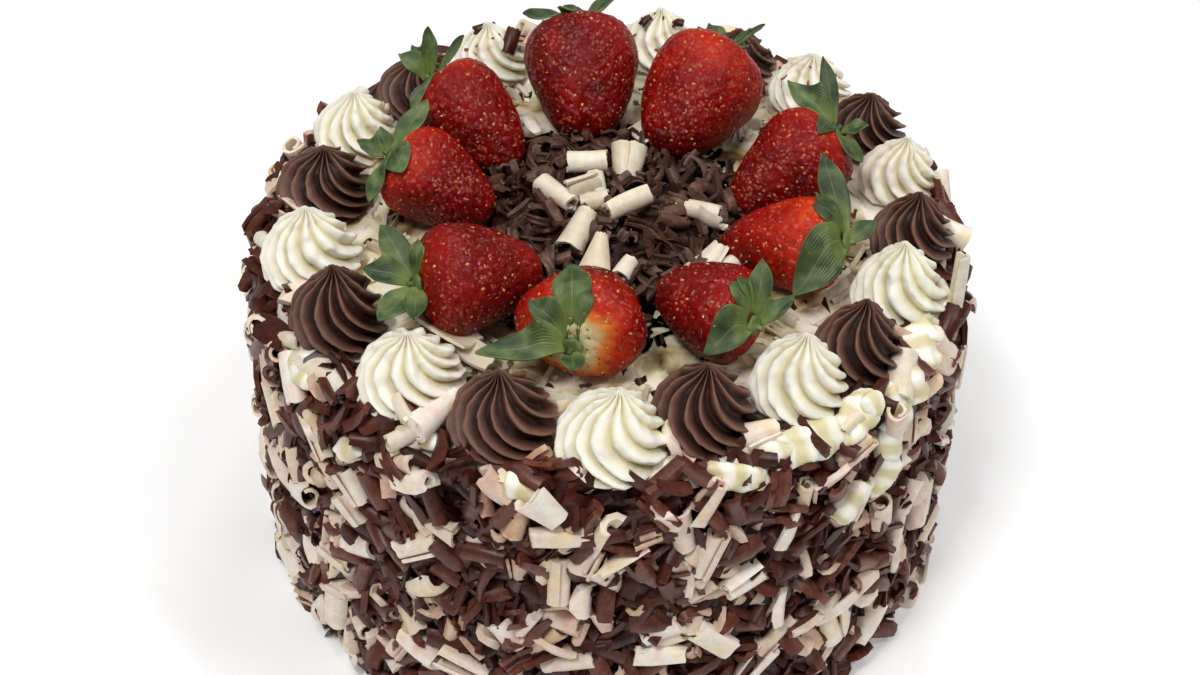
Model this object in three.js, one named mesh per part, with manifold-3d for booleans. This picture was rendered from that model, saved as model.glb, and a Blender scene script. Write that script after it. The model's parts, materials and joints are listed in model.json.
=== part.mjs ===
// A chocolate strawberry cake: a round cream cake that narrows a little upwards, its side pressed full
// of chocolate flakes and curls, with a ring of piped rosettes, nine whole strawberries and a heap of
// shavings on its top.
// Millimetres and degrees, +Z up. The cake stands on z = 0 and its front faces -Y.

import * as THREE from 'three'
import { mergeVertices } from 'three/addons/utils/BufferGeometryUtils.js'
import Module from 'manifold-3d'

const wasm = await Module()
wasm.setup()

// Sizes

const gap = 0.3 // air between two pieces that touch
const cake = { footRadius: 101, topRadius: 97.3, height: 105, edgeRound: 3, sides: 54 }
const flake = { count: 78, proud: 3.8, sink: 1, lowest: 9, highest: 98, thickness: 1.6 }
const ring = { radius: 82, ridges: 12, twist: 75, grooveDepth: 0.17 }
const berrySides = 12
const leafThickness = 0.8
const leafClearance = 1.2 // height of a leaf's underside over what it lies on
const leafRoot = 2.6 // reach of the small disc where a berry's leaves join
const heap = { radius: 33, height: 7.5, sides: 16, clearance: 0.5, unevenness: 0.12 }
const heapRod = { count: 16, thickness: 2.6, sides: 5, above: 0.6 }
const heapCurl = { thickness: 4.6, wall: 1, above: 1.4 }
const goldenAngle = 137.508 // steps of this turn spread pieces evenly

// Piped by hand, the rosettes are not quite even. Each one's turn round the cake is counted
// anticlockwise from the front and its shift is outward from the ring; white and chocolate alternate.
const rosettePlaces = [
  { turn: 1, shift: 1, radius: 14.4, height: 19.8 },
  { turn: 17.8, shift: -3.6, radius: 13.8, height: 21.6 },
  { turn: 37, shift: -1.5, radius: 12.6, height: 22.6 },
  { turn: 51.8, shift: 0, radius: 11.6, height: 20.8 },
  { turn: 68.9, shift: 1, radius: 12.6, height: 21.6 },
  { turn: 85, shift: 2, radius: 12, height: 20.6 },
  { turn: 103.5, shift: 3, radius: 11.2, height: 18.4 },
  { turn: 119, shift: 4.2, radius: 12.6, height: 16.8 },
  { turn: 134.9, shift: 4, radius: 12.6, height: 17.8 },
  { turn: 151.4, shift: 0.4, radius: 12.8, height: 17.5 },
  { turn: 169, shift: 2.6, radius: 12, height: 16.8 },
  { turn: 187.5, shift: 2, radius: 12.6, height: 17.2 },
  { turn: 206.2, shift: 0.6, radius: 12, height: 18 },
  { turn: 225, shift: 0.4, radius: 12.4, height: 16.2 },
  { turn: 243.5, shift: 1, radius: 12.8, height: 18.2 },
  { turn: 261.7, shift: -1, radius: 14.2, height: 19 },
  { turn: 282.5, shift: 0.5, radius: 13.7, height: 21.4 },
  { turn: 301, shift: -0.3, radius: 13.2, height: 22.2 },
  { turn: 321.9, shift: -1.6, radius: 14.1, height: 20.4 },
  { turn: 341.8, shift: -0.7, radius: 13.9, height: 19.7 },
]

// Outlines, as parts of a piece's radius and height or of its width and length
const rosetteOutline = [[0, 0], [0.86, 0], [1, 0.17], [0.9, 0.44], [0.62, 0.7], [0.28, 0.88], [0, 1]]
const berryOutline = [
  [0, 0], [0.3, 0.06], [0.56, 0.19], [0.78, 0.37], [0.94, 0.56],
  [1, 0.72], [0.9, 0.87], [0.66, 0.96], [0.32, 1], [0, 0.97],
]
const heapOutline = [[0, 0], [1, 0], [1, 0.35], [0.7, 0.85], [0.3, 1], [0, 1]]
const leafOutline = [[0.3, 0.8], [0.55, 1], [0.8, 0.72], [1, 0]]

// Each strawberry lies with its tip to the middle. Its centre is given by turn (anticlockwise from
// +X) and reach, its stem end points along heading and is raised by pitch; some are flatter than
// wide. Each of its leaves has the heading, reach and rise of its tip from the stem end, and width.
const strawberries = [
  { turn: 99, reach: 49, heading: 94, pitch: 25, length: 37, width: 33.8, flat: 1, leaves: [
    [205, 16, 7, 7], [255, 8, 11, 5], [340, 11, 9, 6], [30, 10, 2, 6], [120, 9, 0, 6]] },
  { turn: 59, reach: 47, heading: 60, pitch: 20, length: 38.5, width: 33, flat: 1, leaves: [
    [180, 8, 8, 5], [307, 9, 6, 6], [349, 10, 11, 5], [110, 10, 3, 6]] },
  { turn: 140.5, reach: 49.5, heading: 141, pitch: 23, length: 35.5, width: 28.8, flat: 1, leaves: [
    [94, 7, 14, 4.5], [16, 10, 14, 5], [165, 9, 8, 6], [258, 17, 2, 6]] },
  { turn: 174.5, reach: 46, heading: 158, pitch: 20, length: 32, width: 25.8, flat: 1, leaves: [
    [53, 16, 10, 7.5], [173, 9, 4, 6], [290, 15, 6, 8], [255, 20, 0, 5]] },
  { turn: 226.5, reach: 47.7, heading: 203, pitch: 11, length: 34, width: 30, flat: 0.96, leaves: [
    [125, 17, 8, 8], [168, 14, 3, 7], [240, 16, 0, 8], [90, 7, 9, 4]] },
  { turn: 264, reach: 48, heading: 255, pitch: 3.5, length: 27.5, width: 35.5, flat: 0.78, leaves: [
    [90, 17, 13, 11], [145, 14, 9, 7], [182, 24, 1, 9], [48, 8, 4, 4], [276, 8, 0, 6]] },
  { turn: 300.5, reach: 49.6, heading: 321, pitch: 8, length: 29.5, width: 26.2, flat: 0.94, leaves: [
    [155, 8, 10, 5], [77, 12, 12, 6], [25, 11, 6, 5], [217, 16, -1, 7]] },
  { turn: 339.5, reach: 49.6, heading: 347, pitch: 13, length: 33.4, width: 26.6, flat: 0.93, leaves: [
    [104, 22, 13, 8], [162, 10, 10, 7], [231, 22, -4, 10], [32, 9, 4, 6]] },
  { turn: 13.3, reach: 50.2, heading: 33, pitch: 24, length: 36, width: 28.3, flat: 0.97, leaves: [
    [100, 16, 14, 5], [135, 18, 8, 8], [285, 18, 3, 6], [349, 9, 4, 6]] },
]

// Large curls on the heap: place of the middle, heading and slope of the axis, length.
const whiteCurls = [
  [-5.6, 19, 30, 20, 12], [-1, 8.5, 10, 0, 11], [-15, 4, 140, 8, 12], [6, 19, 75, 40, 12],
  [5, -2, 25, 6, 12], [-7, -12, 60, 15, 13], [1, -21, 20, 10, 12], [24, -3, 145, 12, 12],
  [16, -1, 100, 25, 9],
]

const colours = {
  cream: 0xf3ead6, whiteRosette: 0xf4efdc, chocolateRosette: 0x5d4038,
  berry: 0xa31208, leaf: 0x3d6b33, shavings: 0x46302a,
}

// Helpers

const radians = THREE.MathUtils.degToRad

function seededRandom(seed) {
  let state = seed
  return (low, high) => {
    state = (state * 1664525 + 1013904223) % 4294967296
    return low + (high - low) * state / 4294967296
  }
}

function around(turn, reach, z) {
  return new THREE.Vector3(reach * Math.cos(radians(turn)), reach * Math.sin(radians(turn)), z)
}

// Joins the shared corners and drops the empty triangles that a lathe leaves on its axis.
function tidied(geometry) {
  const bare = new THREE.BufferGeometry()
  bare.setAttribute('position', geometry.getAttribute('position'))
  bare.setIndex(geometry.getIndex())
  const merged = mergeVertices(bare, 1e-4)
  const corners = merged.getIndex().array
  const kept = []
  for (let i = 0; i < corners.length; i += 3) {
    const [a, b, c] = corners.slice(i, i + 3)
    if (a !== b && b !== c && c !== a) kept.push(a, b, c)
  }
  merged.setIndex(kept)
  return merged
}

function solidOf(geometry) {
  const { attributes, index } = tidied(geometry)
  return new wasm.Manifold(new wasm.Mesh({
    numProp: 3,
    vertProperties: new Float32Array(attributes.position.array),
    triVerts: new Uint32Array(index.array),
  }))
}

function geometryOf(solid) {
  const { vertProperties, triVerts } = solid.getMesh()
  const geometry = new THREE.BufferGeometry()
  geometry.setAttribute('position', new THREE.BufferAttribute(vertProperties, 3))
  geometry.setIndex(new THREE.BufferAttribute(triVerts, 1))
  return geometry
}

// A lathe turned round +Z from points of radius and height, listed from the bottom up.
function turned(points, sides) {
  const lathe = new THREE.LatheGeometry(points.map(([r, z]) => new THREE.Vector2(r, z)), sides)
  return lathe.rotateX(Math.PI / 2)
}

// Moves each corner of a geometry by a function of its position.
function reshape(geometry, move) {
  const positions = geometry.getAttribute('position')
  const point = new THREE.Vector3()
  for (let i = 0; i < positions.count; i++) {
    move(point.fromBufferAttribute(positions, i))
    positions.setXYZ(i, point.x, point.y, point.z)
  }
  return geometry
}

function named(name, geometry, colour, roughness) {
  const material = new THREE.MeshStandardMaterial({ color: colour, roughness, metalness: 0 })
  const mesh = new THREE.Mesh(geometry, material)
  mesh.name = name
  return mesh
}

// Turns a geometry's +X to a heading and slope, and moves it to a place.
function laid(geometry, place, heading, slope) {
  return geometry.rotateY(-radians(slope)).rotateZ(radians(heading))
    .translate(place.x, place.y, place.z)
}

// Chocolate pieces, all lying along +X round the origin

// A shaving or rolled curl, drawn as a rod with few sides.
function rod(length, thickness, sides) {
  return new THREE.CylinderGeometry(thickness / 2, thickness / 2, length, sides).rotateZ(Math.PI / 2)
}

// A curl that shows its hollow end: a rolled sheet left open by a slit.
function openCurl(length, thickness, wall) {
  const outline = new THREE.Shape()
  outline.absarc(0, 0, thickness / 2, radians(25), radians(345), false)
  outline.absarc(0, 0, thickness / 2 - wall, radians(345), radians(25), true)
  const curl = new THREE.ExtrudeGeometry(outline, {
    depth: length, bevelEnabled: false, curveSegments: 3,
  })
  return curl.translate(0, 0, -length / 2).rotateY(Math.PI / 2)
}

// A thin broken shard, pointed at one end and bent a little across its length.
function shard(length, width, thickness, bend) {
  const outline = new THREE.Shape()
  outline.moveTo(-length / 2, -width * 0.32)
  outline.lineTo(0, -width / 2)
  outline.lineTo(length / 2, width * 0.1)
  outline.lineTo(0, width / 2)
  outline.lineTo(-length / 2, width * 0.38)
  const plate = new THREE.ExtrudeGeometry(outline, { depth: thickness, bevelEnabled: false })
  return reshape(plate, (p) => {
    p.z += bend * (1 - (2 * p.x / length) ** 2) - thickness / 2
  })
}

// The cake: a lathed cream body with the largest flakes fused to its side

function bodyRadius(z) {
  return cake.footRadius + (cake.topRadius - cake.footRadius) * z / cake.height
}

function cakeBody() {
  const { footRadius, topRadius, height, edgeRound, sides } = cake
  const profile = [[0, 0], [footRadius, 0]]
  for (const angle of [0, 45, 90]) {
    profile.push([
      topRadius - edgeRound + edgeRound * Math.cos(radians(angle)),
      height - edgeRound + edgeRound * Math.sin(radians(angle)),
    ])
  }
  profile.push([0, height])
  return solidOf(turned(profile, sides))
}

// Flakes sit on a spiral of golden-angle steps, so that they cover the side evenly.
function sideFlake(i, random) {
  const z = flake.lowest + (flake.highest - flake.lowest) * (i + 0.5) / flake.count
  const kinds = [
    () => rod(random(13, 18), random(4, 5), 6),
    () => shard(random(11, 16), random(6, 9), flake.thickness, random(0.5, 1.5)),
    () => shard(random(9, 13), random(4, 6), flake.thickness, random(0.5, 1.5)),
  ]
  const piece = kinds[i % kinds.length]()
  piece.rotateY(radians(random(-16, 16)))
  piece.rotateZ(radians(random(-75, 75)))
  // +Z of the piece now points out of the side, +X along it and +Y up
  piece.rotateX(Math.PI / 2).rotateZ(Math.PI / 2)
  piece.computeBoundingBox()
  const { min, max } = piece.boundingBox
  const height = THREE.MathUtils.clamp(z, 1 - min.z, cake.height - 1 - max.z)
  const surface = bodyRadius(height)
  const outward = Math.min(surface - flake.sink - min.x, surface + flake.proud - max.x)
  return piece.translate(outward, 0, height).rotateZ(radians(i * goldenAngle))
}

function buildCake() {
  const random = seededRandom(7)
  let solid = cakeBody()
  for (let i = 0; i < flake.count; i++) {
    solid = solid.add(solidOf(sideFlake(i, random)))
  }
  return named('cake', geometryOf(solid), colours.cream, 0.6)
}

// The rosettes: domes of twelve swept ridges, flattened where they press on their neighbours

const rosettes = rosettePlaces.map(({ turn, shift, radius, height }, i) => ({
  radius,
  height,
  centre: around(turn - 90, ring.radius + shift, cake.height + gap),
  name: `${i % 2 ? 'chocolate' : 'white'}_rosette_${String(i + 1).padStart(2, '0')}`,
  colour: i % 2 ? colours.chocolateRosette : colours.whiteRosette,
}))

function buildRosette({ centre, radius, height, name, colour }, i) {
  const count = rosettes.length
  const neighbours = [rosettes[(i + count - 1) % count], rosettes[(i + 1) % count]].map((other) => {
    const toOther = other.centre.clone().sub(centre)
    return { angle: Math.atan2(toOther.y, toOther.x), limit: (toOther.length() - gap) / 2 }
  })
  const profile = rosetteOutline.map(([r, z]) => [r * radius, z * height])
  const dome = reshape(turned(profile, 2 * ring.ridges), (p) => {
    const rise = Math.min(p.z / height, 1) // rounding can lift the tip past the height
    const flat = Math.hypot(p.x, p.y)
    const angle = Math.atan2(p.y, p.x)
    const inGroove = Math.round(angle * ring.ridges / Math.PI) % 2 !== 0
    let reach = inGroove ? flat * (1 - ring.grooveDepth) : flat
    const swept = angle + radians(ring.twist) * (1 - rise) ** 1.3
    for (const { angle: toward, limit } of neighbours) {
      const facing = Math.cos(swept - toward)
      if (facing > 0) reach = Math.min(reach, limit / facing)
    }
    p.set(reach * Math.cos(swept), reach * Math.sin(swept), p.z)
  })
  const mesh = named(name, tidied(dome), colour, 0.5)
  mesh.position.copy(centre)
  return mesh
}

// The strawberries

// A berry round the origin, its stem end toward +X.
function berryGeometry({ length, width, flat }, margin = 0) {
  const profile = berryOutline.map(([r, along]) => (
    [r * (width / 2 + margin), (along - 0.5) * (length + 2 * margin)]
  ))
  return turned(profile, berrySides).rotateY(Math.PI / 2).scale(1, 1, flat)
}

// The direction from the tip to the stem end.
function stemDirection({ heading, pitch }) {
  return around(heading, Math.cos(radians(pitch)), Math.sin(radians(pitch)))
}

// The lowest point of the tilted berry stands a gap above the cake.
function placeBerry(mesh, berry) {
  mesh.rotation.set(0, -radians(berry.pitch), radians(berry.heading), 'ZYX')
  mesh.position.copy(around(berry.turn, berry.reach, 0))
  mesh.updateMatrixWorld()
  const lowest = new THREE.Box3().setFromObject(mesh, true).min.z
  mesh.position.z = cake.height + gap - lowest
  mesh.updateMatrixWorld()
  return mesh
}

function buildBerry(berry, i) {
  const geometry = tidied(berryGeometry(berry))
  return placeBerry(named(`strawberry_${i + 1}`, geometry, colours.berry, 0.25), berry)
}

// The leaves: one thin star a berry, laid over whatever is under it

// Height of the highest surface under a place seen from above.
function heightUnder(x, y, supports) {
  const ray = new THREE.Raycaster(new THREE.Vector3(x, y, 1000), new THREE.Vector3(0, 0, -1))
  const hits = ray.intersectObjects(supports, false)
  return hits.length ? hits[0].point.z : cake.height
}

function buildCalyx(berry, berryMesh, i, supports) {
  const fromMiddle = berry.length / 2 + leafClearance
  const stemEnd = stemDirection(berry).multiplyScalar(fromMiddle).add(berryMesh.position)
  const points = []
  const faces = []

  const addPoint = (heading, reach, across, z) => {
    const angle = radians(heading)
    const x = stemEnd.x + reach * Math.cos(angle) - across * Math.sin(angle)
    const y = stemEnd.y + reach * Math.sin(angle) + across * Math.cos(angle)
    const lifted = Math.max(z, heightUnder(x, y, supports) + leafClearance)
    points.push(new THREE.Vector3(x, y, lifted))
    return points.length - 1
  }

  const leaves = berry.leaves.map(([heading, reach, rise, width]) => ({ heading, reach, rise, width }))
    .sort((a, b) => a.heading - b.heading)
  const centre = addPoint(0, 0, 0, stemEnd.z)
  const corners = leaves.map((leaf, k) => {
    const next = leaves[(k + 1) % leaves.length].heading
    const between = (next - leaf.heading + 360) % 360
    return addPoint(leaf.heading + between / 2, leafRoot, 0, stemEnd.z)
  })

  leaves.forEach(({ heading, reach, rise, width }, k) => {
    let right = corners[(k + leaves.length - 1) % leaves.length]
    let left = corners[k]
    let middle = addPoint(heading, leafRoot, 0, stemEnd.z)
    faces.push([centre, right, middle], [centre, middle, left])
    for (const [along, breadth] of leafOutline) {
      const z = stemEnd.z + rise * along ** 0.8
      const out = leafRoot + (reach - leafRoot) * along
      const half = breadth * width / 2
      const nextMiddle = addPoint(heading, out, 0, z)
      if (half === 0) {
        faces.push([right, nextMiddle, middle], [middle, nextMiddle, left])
        break
      }
      const nextRight = addPoint(heading, out, -half, z + 0.5)
      const nextLeft = addPoint(heading, out, half, z + 0.5)
      faces.push([right, nextRight, middle], [nextRight, nextMiddle, middle])
      faces.push([middle, nextMiddle, left], [nextMiddle, nextLeft, left])
      right = nextRight
      left = nextLeft
      middle = nextMiddle
    }
  })
  for (let pass = 0; pass < 4; pass++) faces.forEach((face) => liftEdges(face, points, supports))
  return named(`leaves_${i + 1}`, thickened(points, faces, leafThickness), colours.leaf, 0.6)
}

// Raises the edges of a leaf's triangle whose middle comes too near to what it lies on.
function liftEdges(face, points, supports) {
  face.forEach((corner, k) => {
    const from = points[corner]
    const to = points[face[(k + 1) % 3]]
    for (const along of [0.25, 0.5, 0.75]) {
      const middle = from.clone().lerp(to, along)
      const short = heightUnder(middle.x, middle.y, supports) + leafClearance - middle.z
      if (short > 0) {
        from.z += short
        to.z += short
      }
    }
  })
}

// Closes a sheet of triangles to a thin solid whose two faces are split alike.
function thickened(points, faces, thickness) {
  const sheet = new THREE.BufferGeometry().setFromPoints(points)
  sheet.setIndex(faces.flat())
  sheet.computeVertexNormals()
  const normals = sheet.getAttribute('normal')
  const above = points.map((point, i) => (
    new THREE.Vector3().fromBufferAttribute(normals, i).multiplyScalar(thickness).add(point)
  ))
  const count = points.length
  const index = []
  const edges = new Set()
  for (const [a, b, c] of faces) {
    index.push(a + count, b + count, c + count, a, c, b)
    for (const [from, to] of [[a, b], [b, c], [c, a]]) edges.add(`${from} ${to}`)
  }
  for (const edge of edges) {
    const [from, to] = edge.split(' ').map(Number)
    if (edges.has(`${to} ${from}`)) continue
    index.push(from, to, to + count, from, to + count, from + count)
  }
  const solid = new THREE.BufferGeometry().setFromPoints([...points, ...above])
  solid.setIndex(index)
  return solid
}

// The heap in the middle: an uneven low mound with rods and curls fused on, clear of the berries

function buildHeap() {
  const random = seededRandom(21)
  const { radius, height, sides, clearance, unevenness } = heap
  const base = cake.height + gap
  const keepOut = strawberries
    .map((berry, i) => (
      solidOf(berryGeometry(berry, clearance).applyMatrix4(berryMeshes[i].matrixWorld))
    ))
    .reduce((all, berry) => all.add(berry))

  const profile = heapOutline.map(([r, z]) => [r * radius, z * height])
  const mound = reshape(turned(profile, sides), (p) => {
    p.z += p.z * unevenness * Math.sin(p.x * 0.7) * Math.cos(p.y * 0.9)
  }).translate(0, 0, base)
  let solid = solidOf(mound).subtract(keepOut)

  const moundTop = (x, y) => base + height * (1 - 0.45 * (Math.hypot(x, y) / radius) ** 2)
  const pieces = whiteCurls.map(([x, y, heading, slope, length]) => {
    const place = new THREE.Vector3(x, y, moundTop(x, y) + heapCurl.above)
    return laid(openCurl(length, heapCurl.thickness, heapCurl.wall), place, heading, slope)
  })
  for (let i = 0; i < heapRod.count; i++) {
    const place = around(i * goldenAngle, radius * Math.sqrt((i + 0.5) / heapRod.count), 0)
    place.z = moundTop(place.x, place.y) + heapRod.above
    const piece = rod(random(9, 13), heapRod.thickness, heapRod.sides)
    pieces.push(laid(piece, place, random(0, 180), random(-12, 20)))
  }
  for (const piece of pieces) {
    piece.computeBoundingBox()
    piece.translate(0, 0, Math.max(0, base - piece.boundingBox.min.z))
    const added = solidOf(piece)
    if (added.intersect(keepOut).isEmpty()) solid = solid.add(added)
  }
  const [whole] = solid.decompose().sort((a, b) => b.volume() - a.volume())
  return named('centre_heap', geometryOf(whole), colours.shavings, 0.5)
}

// Everything together

const group = new THREE.Group()
const rosetteMeshes = rosettes.map(buildRosette)
const berryMeshes = strawberries.map(buildBerry)
const supports = [...rosetteMeshes, ...berryMeshes]
supports.forEach((mesh) => mesh.updateMatrixWorld())
const calyxMeshes = strawberries.map((berry, i) => {
  const calyx = buildCalyx(berry, berryMeshes[i], i, supports)
  supports.push(calyx)
  return calyx
})
group.add(buildCake(), ...rosetteMeshes, ...berryMeshes, ...calyxMeshes, buildHeap())

export default group
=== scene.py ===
import json
import math
import bpy
import numpy as np
from mathutils import Matrix, Vector, noise
from mathutils.bvhtree import BVHTree

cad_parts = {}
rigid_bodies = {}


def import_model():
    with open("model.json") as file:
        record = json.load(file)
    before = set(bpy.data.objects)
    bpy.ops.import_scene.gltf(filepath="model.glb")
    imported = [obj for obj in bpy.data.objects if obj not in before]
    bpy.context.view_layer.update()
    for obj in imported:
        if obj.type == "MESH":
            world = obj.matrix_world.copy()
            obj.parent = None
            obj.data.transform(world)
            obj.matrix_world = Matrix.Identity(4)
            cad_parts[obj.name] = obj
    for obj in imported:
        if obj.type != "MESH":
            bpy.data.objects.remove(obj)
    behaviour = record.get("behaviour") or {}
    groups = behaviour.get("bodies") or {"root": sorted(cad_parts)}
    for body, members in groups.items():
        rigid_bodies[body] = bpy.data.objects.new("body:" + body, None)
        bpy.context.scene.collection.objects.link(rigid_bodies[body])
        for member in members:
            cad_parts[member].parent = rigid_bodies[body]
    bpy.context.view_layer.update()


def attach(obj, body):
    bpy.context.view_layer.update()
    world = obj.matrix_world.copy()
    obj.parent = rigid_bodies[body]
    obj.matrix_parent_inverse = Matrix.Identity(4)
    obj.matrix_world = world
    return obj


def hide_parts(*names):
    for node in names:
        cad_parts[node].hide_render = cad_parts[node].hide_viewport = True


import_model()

# Lengths in the dictionaries are millimetres and angles degrees, unless a note says otherwise.
# The cake stands on z = 0, its front looks to -Y.
mm = 0.001
goldenAngle = 137.508
noiseStride = (7.3, 3.1, 5.7)  # how far apart two seeds read the noise
sharpAngle = math.radians(50)  # edges of a shaving that turn more than this stay sharp


# Helpers for places and surfaces
def around(turn, reach, height=0.0):
    # turn is counted anticlockwise from +X
    angle = math.radians(turn)
    return np.array([reach * math.cos(angle), reach * math.sin(angle), height])


def ringAngles(count):
    return np.linspace(0, 2 * math.pi, count, endpoint=False)


def turning(axis, angle):
    return np.array(Matrix.Rotation(math.radians(angle), 3, axis))


def smoothLine(points, steps):
    # a smooth line through the given points, as evenly counted steps
    points = np.array(points, float)
    padded = np.vstack([2 * points[0] - points[1], points, 2 * points[-1] - points[-2]])
    places = np.linspace(0, len(points) - 1, steps)
    first = np.minimum(places.astype(int), len(points) - 2)
    t = (places - first)[:, None]
    a, b, c, d = padded[first], padded[first + 1], padded[first + 2], padded[first + 3]
    return 0.5 * (2 * b + (c - a) * t + (2 * a - 5 * b + 4 * c - d) * t ** 2
                  + (3 * b - a - 3 * c + d) * t ** 3)


def bumps(points, size, seed):
    # soft noise of -1..1 at each point, with lumps of about the given size
    shift = Vector([seed * stride for stride in noiseStride])
    return np.array([noise.noise(Vector(p) / size + shift) for p in points])


def latheFaces(rows, columns):
    # rows of points from the bottom up, then one point for the bottom pole and one for the top
    faces = []
    bottom, top = rows * columns, rows * columns + 1
    for r in range(rows - 1):
        for c in range(columns):
            n = (c + 1) % columns
            faces.append((r * columns + c, r * columns + n, (r + 1) * columns + n, (r + 1) * columns + c))
    last = (rows - 1) * columns
    for c in range(columns):
        n = (c + 1) % columns
        faces.append((bottom, n, c))
        faces.append((last + c, last + n, top))
    return faces


def gridFaces(rows, columns):
    faces = []
    for r in range(rows - 1):
        for c in range(columns - 1):
            a = r * columns + c
            faces.append((a, a + columns, a + columns + 1, a + 1))
    return faces


def closedSheet(upper, lower, faces):
    # a thin solid between two like sheets of points, with a wall along their rims
    count = len(upper)
    edges = [edge for face in faces for edge in zip(face, face[1:] + face[:1])]
    known = set(edges)
    rim = [(a, b) for a, b in edges if (b, a) not in known]
    under = [tuple(i + count for i in reversed(face)) for face in faces]
    walls = [(b, a, a + count, b + count) for a, b in rim]
    return np.vstack([upper, lower]), faces + under + walls


def joined(parts):
    # several (points, faces, values) made one, the values an array of numbers a point
    points, faces, values, count = [], [], [], 0
    for somePoints, someFaces, someValues in parts:
        points.append(somePoints)
        values.append(someValues)
        faces.extend(tuple(i + count for i in face) for face in someFaces)
        count += len(somePoints)
    return np.vstack(points), faces, np.concatenate(values)


def formTree(form):
    return BVHTree.FromPolygons([Vector(p) for p in form[0]], form[1])


def linked(thing):
    bpy.context.scene.collection.objects.link(thing)
    return thing


def meshObject(name, points, faces, materials=(), attributes=None, uv=None):
    # a mesh object from points in millimetres, not yet in the scene; attributes hold one number a point
    mesh = bpy.data.meshes.new(name)
    mesh.from_pydata([tuple(p) for p in np.asarray(points) * mm], [], faces)
    for label, values in (attributes or {}).items():
        layer = mesh.attributes.new(label, "FLOAT", "POINT")
        layer.data.foreach_set("value", np.asarray(values, np.float32))
    if uv is not None:
        corners = np.zeros(len(mesh.loops), np.int32)
        mesh.loops.foreach_get("vertex_index", corners)
        layer = mesh.uv_layers.new(name="UVMap")
        layer.data.foreach_set("uv", np.asarray(uv, np.float32)[corners].ravel())
    mesh.polygons.foreach_set("use_smooth", [True] * len(mesh.polygons))
    for material in materials:
        mesh.materials.append(material)
    return bpy.data.objects.new(name, mesh)


def addPiece(thing, slot, *nodes):
    # hands a finished piece to the frame
    if nodes:
        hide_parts(*nodes)
    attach(thing, "root")


# Helpers for materials
def toLinear(hexColour):
    parts = [int(hexColour[i:i + 2], 16) / 255 for i in (1, 3, 5)]
    return [p / 12.92 if p <= 0.04045 else ((p + 0.055) / 1.055) ** 2.4 for p in parts] + [1.0]


def addNode(tree, kind, settings=None, links=None):
    # settings are inputs by name or number, stops of a colour ramp, or the node's own properties;
    # a link comes from a socket or from a node's first output
    node = tree.nodes.new(kind)
    for key, value in (settings or {}).items():
        if key == "stops":
            ramp = node.color_ramp.elements
            while len(ramp) < len(value):
                ramp.new(0.5)
            for element, (position, colour) in zip(ramp, value):
                element.position = position
                element.color = toLinear(colour)
        elif isinstance(key, int) or key in node.inputs:
            isColour = isinstance(value, str) and value.startswith("#")
            node.inputs[key].default_value = toLinear(value) if isColour else value
        else:
            setattr(node, key, value)
    for key, source in (links or {}).items():
        socket = source.outputs[0] if isinstance(source, bpy.types.Node) else source
        tree.links.new(socket, node.inputs[key])
    return node


def newMaterial(name, settings):
    # a material with one shader, whose constants are set on its own sockets
    material = bpy.data.materials.new(name)
    material.use_nodes = True
    tree = material.node_tree
    tree.nodes.clear()
    shader = addNode(tree, "ShaderNodeBsdfPrincipled", settings)
    addNode(tree, "ShaderNodeOutputMaterial", {}, {"Surface": shader})
    place = addNode(tree, "ShaderNodeTexCoord")
    return material, tree, shader, place


def addNoise(tree, place, scale, detail, more=None):
    # noise in the object's own space; scale counts lumps a metre
    return addNode(tree, "ShaderNodeTexNoise", {"Scale": scale, "Detail": detail, **(more or {})},
                   {"Vector": place.outputs["Object"]})


def addRamp(tree, stops, source):
    return addNode(tree, "ShaderNodeValToRGB", {"stops": stops}, {"Fac": source})


def addShare(tree, base, share, source):
    # the base plus a share of the source
    return addNode(tree, "ShaderNodeMath", {"operation": "MULTIPLY_ADD", 1: share}, {0: source, 2: base})


def readAttribute(tree, name):
    return addNode(tree, "ShaderNodeAttribute", {"attribute_name": name}).outputs["Fac"]


def mixColour(tree, share, base, colour):
    # the base, turned to the given colour where share is 1
    return addNode(tree, "ShaderNodeMix", {"data_type": "RGBA", 7: colour},
                   {0: share, 6: base}).outputs[2]


def dress(tree, shader, colour, height, strength, distance, normal="Normal"):
    # the colour, and a relief from a height of 0..1 that stands for a distance in metres
    bump = addNode(tree, "ShaderNodeBump", {"Strength": strength, "Distance": distance}, {"Height": height})
    tree.links.new(colour, shader.inputs["Base Color"])
    tree.links.new(bump.outputs["Normal"], shader.inputs[normal])


def makeCream(name, settings, patchNoise, stops, relief, poreNoise=None):
    # spread cream: patches of tone, with a relief from the same noise or from finer pores;
    # noise is given as scale and detail, relief as strength and distance
    material, tree, shader, place = newMaterial(name, {"IOR": 1.45, **settings})
    patches = addNoise(tree, place, *patchNoise)
    pores = addNoise(tree, place, *poreNoise) if poreNoise else patches
    dress(tree, shader, addRamp(tree, stops, patches).outputs[0], pores, *relief)
    return material


# Piped buttercream: smooth and satin, with painted shade that makes it darker and warmer down in the grooves
# and, on the chocolate, a painted highlight along the crests
def makePipedCream(name, stops, roughness, scatter):
    material, tree, shader, place = newMaterial(name, {
        "Roughness": roughness, "IOR": 1.46, "Specular IOR Level": 0.35, "Subsurface Weight": scatter,
        "Subsurface Radius": (1.0, 0.8, 0.45), "Subsurface Scale": 0.0015})
    # painted shade: how deep the point lies in a groove, with a little noise, darkens the colour
    depth = addShare(tree, readAttribute(tree, "groove"), 0.35, addNoise(tree, place, 160.0, 3.0))
    grain = addNoise(tree, place, 900.0, 2.0)
    dress(tree, shader, addRamp(tree, stops, depth).outputs[0], grain, 0.2, 0.0003)
    return material
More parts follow.
